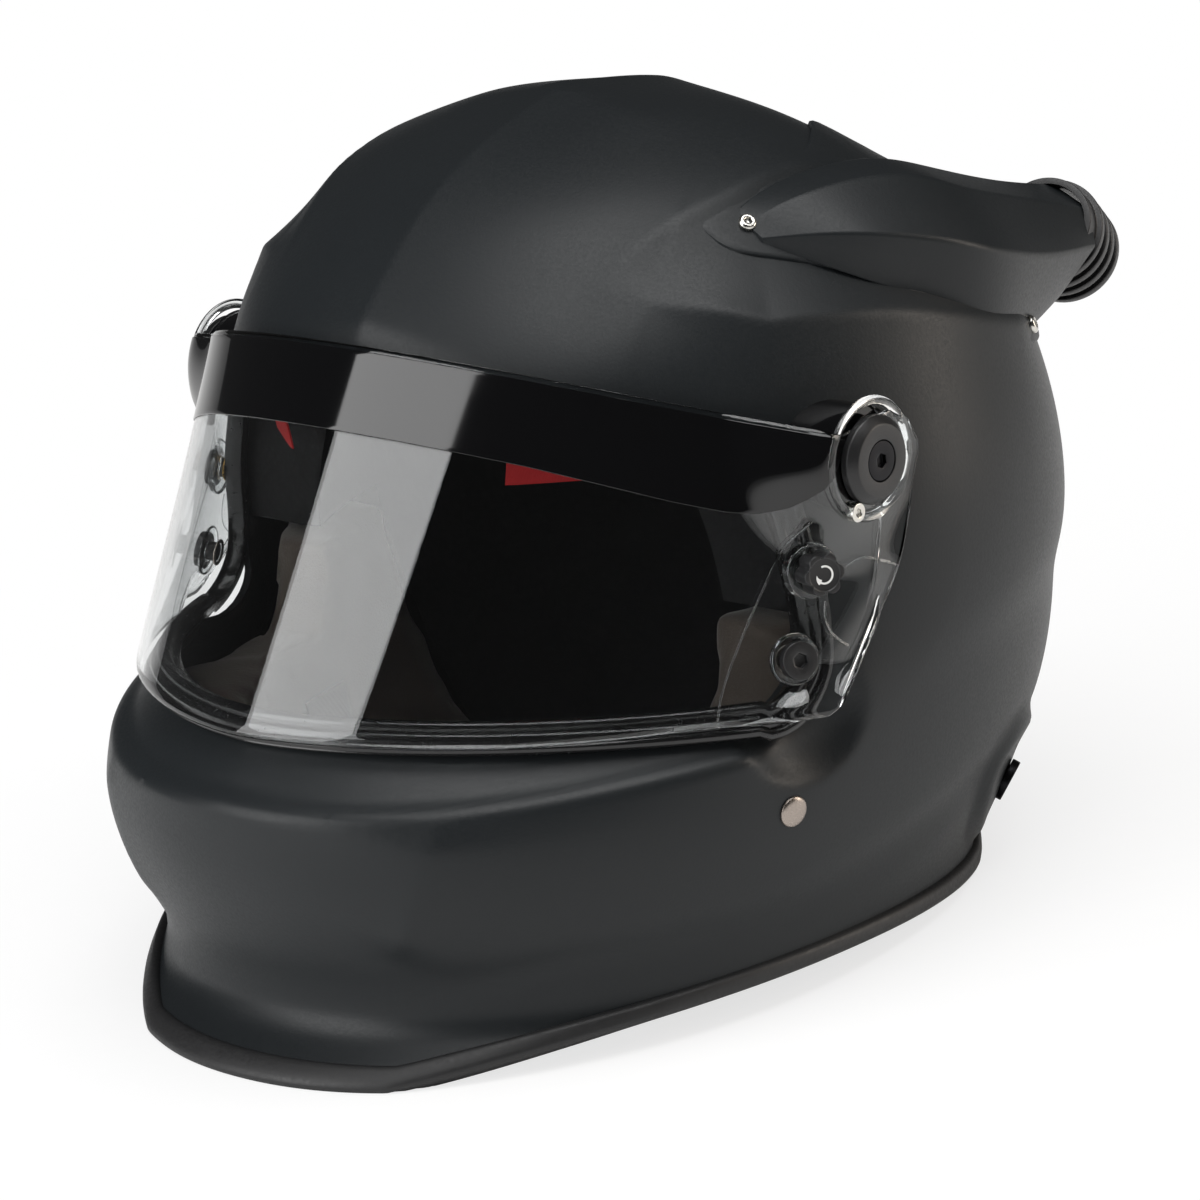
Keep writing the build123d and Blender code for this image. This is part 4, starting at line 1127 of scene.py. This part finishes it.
def ribbon(name, path, sideways, width, thick):
    """Flat band along a path: places = path + sideways across + normal times thickness"""
    path = np.array(path, float)
    ahead = np.gradient(path, axis=0)
    up = np.cross(ahead, sideways)
    up /= np.linalg.norm(up, axis=1, keepdims=True)
    across = np.linspace(-1, 1, 13)
    edge = thick / 2 * (1 - 0.6 * np.abs(across) ** 8)
    loop_a = np.concatenate([across, across[::-1]]) * width / 2
    loop_h = np.concatenate([edge, -edge[::-1]])
    grid = (path[:, None] + loop_a[:, None] * np.asarray(sideways)
            + loop_h[:, None] * up[:, None])
    piece = make_object(name, grid, grid_faces(len(path), len(loop_a), False, True))
    tidy(piece, fill=True)
    shade(piece, 60)
    return piece


for side, word in ((1, "left"), (-1, "right")):
    place, out = skin_spot(*RIVET, 0.0, side)
    out, upright, across = axes_of(out)
    line = soften([(6.5, -4.6), (-6.5, -6.4), (-39.1, -11.8), (-41.5, -14), (-41.5, -43),
                   (-39.1, -45.2), (-2, -45.2)], 8, 8)
    seat(ribbon("chin_strap_" + word + "_look", place + line[:, :1] * upright + line[:, 1:] * out,
                across, STRAP_WIDE, STRAP_THICK), STRAP, "helmet", "chin_strap_" + word)

tabs = []
for side in (1, -1):
    swing = np.linspace(0, 1.4, 80)
    turn_mid = side * np.interp(TAB_X, bare_skin(swing, climb_at(TAB_ROOT))[:, 0], swing)
    hang = np.linspace(0, 1, 24)
    level = TAB_TOP - TAB_LONG * hang
    path = skin(turn_mid + 0 * hang, climb_at(level), -TAB_IN - TAB_LEAN * hang ** 0.7)
    ends = bare_skin(turn_mid + np.array([-0.02, 0.02]), climb_at(TAB_ROOT))
    beside = (ends[1] - ends[0]) / np.linalg.norm(ends[1] - ends[0])
    tabs.append(ribbon("brow_tab_%d" % (side + 1), path, beside, TAB_WIDE, TAB_THICK))
seat(tabs[0], RED, "helmet", "brow_pull_tabs", slot="red_ribbon")
seat(tabs[1], RED, "helmet")
print("straps and tabs made")

# %% [markdown]
# The camera stands where the photographer stood. The helmet rests on its rim here, while the
# photograph shows it tilted forward by nine degrees, so the camera leans instead.

# %% Camera
AZIMUTH, RISE, PITCH = math.radians(42), math.radians(11.5), math.radians(9)
DISTANCE, FOCUS = 2000.0, 6560.0
PHOTO, MIDDLE_X, MIDDLE_Y = 1200, 570, 561
CENTRE = np.array([0.0, -1.0, 108.0])
tilt = np.array([[1, 0, 0], [0, math.cos(PITCH), math.sin(PITCH)],
                 [0, -math.sin(PITCH), math.cos(PITCH)]])
back = tilt @ (math.sin(AZIMUTH) * math.cos(RISE), -math.cos(AZIMUTH) * math.cos(RISE),
               math.sin(RISE))
right = tilt @ (math.cos(AZIMUTH), math.sin(AZIMUTH), 0)
above = np.cross(back, right)
eye = (CENTRE + back * DISTANCE) * SCALE
stand = np.eye(4)
stand[:3, 0], stand[:3, 1], stand[:3, 2], stand[:3, 3] = right, above, back, eye
camera = add_object("camera", bpy.data.cameras.new("camera"))
camera.matrix_world = Matrix(stand.tolist())
camera.data.sensor_width = 36.0
camera.data.lens = 36.0 * FOCUS / PHOTO
camera.data.shift_x = (PHOTO / 2 - MIDDLE_X) / PHOTO
camera.data.shift_y = (MIDDLE_Y - PHOTO / 2) / PHOTO
camera.data.clip_start, camera.data.clip_end = 0.1, 50.0
bpy.context.scene.camera = camera

# %% [markdown]
# A soft white studio: a pale floor, a broad lamp above, a tall one that draws the upright
# band on the shield, and a weak fill from the other side.

# %% Studio
def area_lamp(name, place, target, size, tall, power):
    """Flat lamp at a place that faces a target, in metres and watts"""
    lamp = bpy.data.lights.new(name, "AREA")
    lamp.shape, lamp.size, lamp.size_y, lamp.energy = "RECTANGLE", size, tall, power
    holder = add_object(name, lamp)
    out = np.array(place, float) - target
    out /= np.linalg.norm(out)
    side = np.cross((0, 0, 1), out)
    side /= np.linalg.norm(side)
    pose = np.eye(4)
    pose[:3, 0], pose[:3, 1], pose[:3, 2] = side, np.cross(out, side), out
    pose[:3, 3] = place
    holder.matrix_world = Matrix(pose.tolist())
    return holder


aim = np.array([0.0, 0.0, 0.12])
area_lamp("top_lamp", (0.35, -0.1, 1.9), aim, 1.7, 1.2, 30)
area_lamp("tall_lamp", (-0.62, -1.7, 0.62), aim, 1.3, 2.2, 38)
side_lamp = area_lamp("side_lamp", (1.5, 1.3, 0.6), aim, 0.6, 1.6, 17)
side_lamp.data.color = (1.0, 0.9, 0.8)

world = bpy.data.worlds.new("studio")
bpy.context.scene.world = world
world.use_nodes = True
sky = Paint.__new__(Paint)
sky.tree = world.node_tree
background = sky.tree.nodes["Background"]
background.inputs["Color"].default_value = (1, 1, 1, 1)
path = sky.tree.nodes.new("ShaderNodeLightPath")
seen, mirrored = [Wave(sky, path.outputs[name]) for name in ("Is Camera Ray", "Is Glossy Ray")]
level = seen.fit(0, 1, 0.28, 1.0) - mirrored * 0.24
sky.tree.links.new(level.socket, background.inputs["Strength"])

floor_grid = np.stack(np.meshgrid([-6000, 6000], [-6000, 6000], [0.0]), -1).reshape(-1, 3)
floor = make_object("floor", floor_grid, [[0, 1, 3, 2]])
floor_paint = Paint("pale_floor", (0.85, 0.85, 0.85), 0.9)
grain = floor_paint.noise(0.01, 2)
floor_paint.drive(Base_Color=floor_paint.blend(grain, (0.84, 0.84, 0.84), (0.88, 0.88, 0.88)))
glow = floor_paint.node("ShaderNodeEmission", {}, 0, (1, 1, 1, 1), 1.0)
far = floor_paint.node("ShaderNodeVectorMath", {"operation": "LENGTH"}, "Value", floor_paint.place)
rays = floor_paint.node("ShaderNodeLightPath", {}, "Is Camera Ray")
fade = far.fit(0.1, 0.42, 0.72, 1.0) * rays
mixed = floor_paint.node("ShaderNodeMixShader", {}, 0, fade,
                         Wave(floor_paint, floor_paint.shader.outputs[0]), glow)
surface = floor_paint.tree.nodes["Material Output"].inputs["Surface"]
floor_paint.tree.links.new(mixed.socket, surface)
floor.data.materials.append(floor_paint.material)

scene = bpy.context.scene
scene.view_settings.view_transform = "Standard"
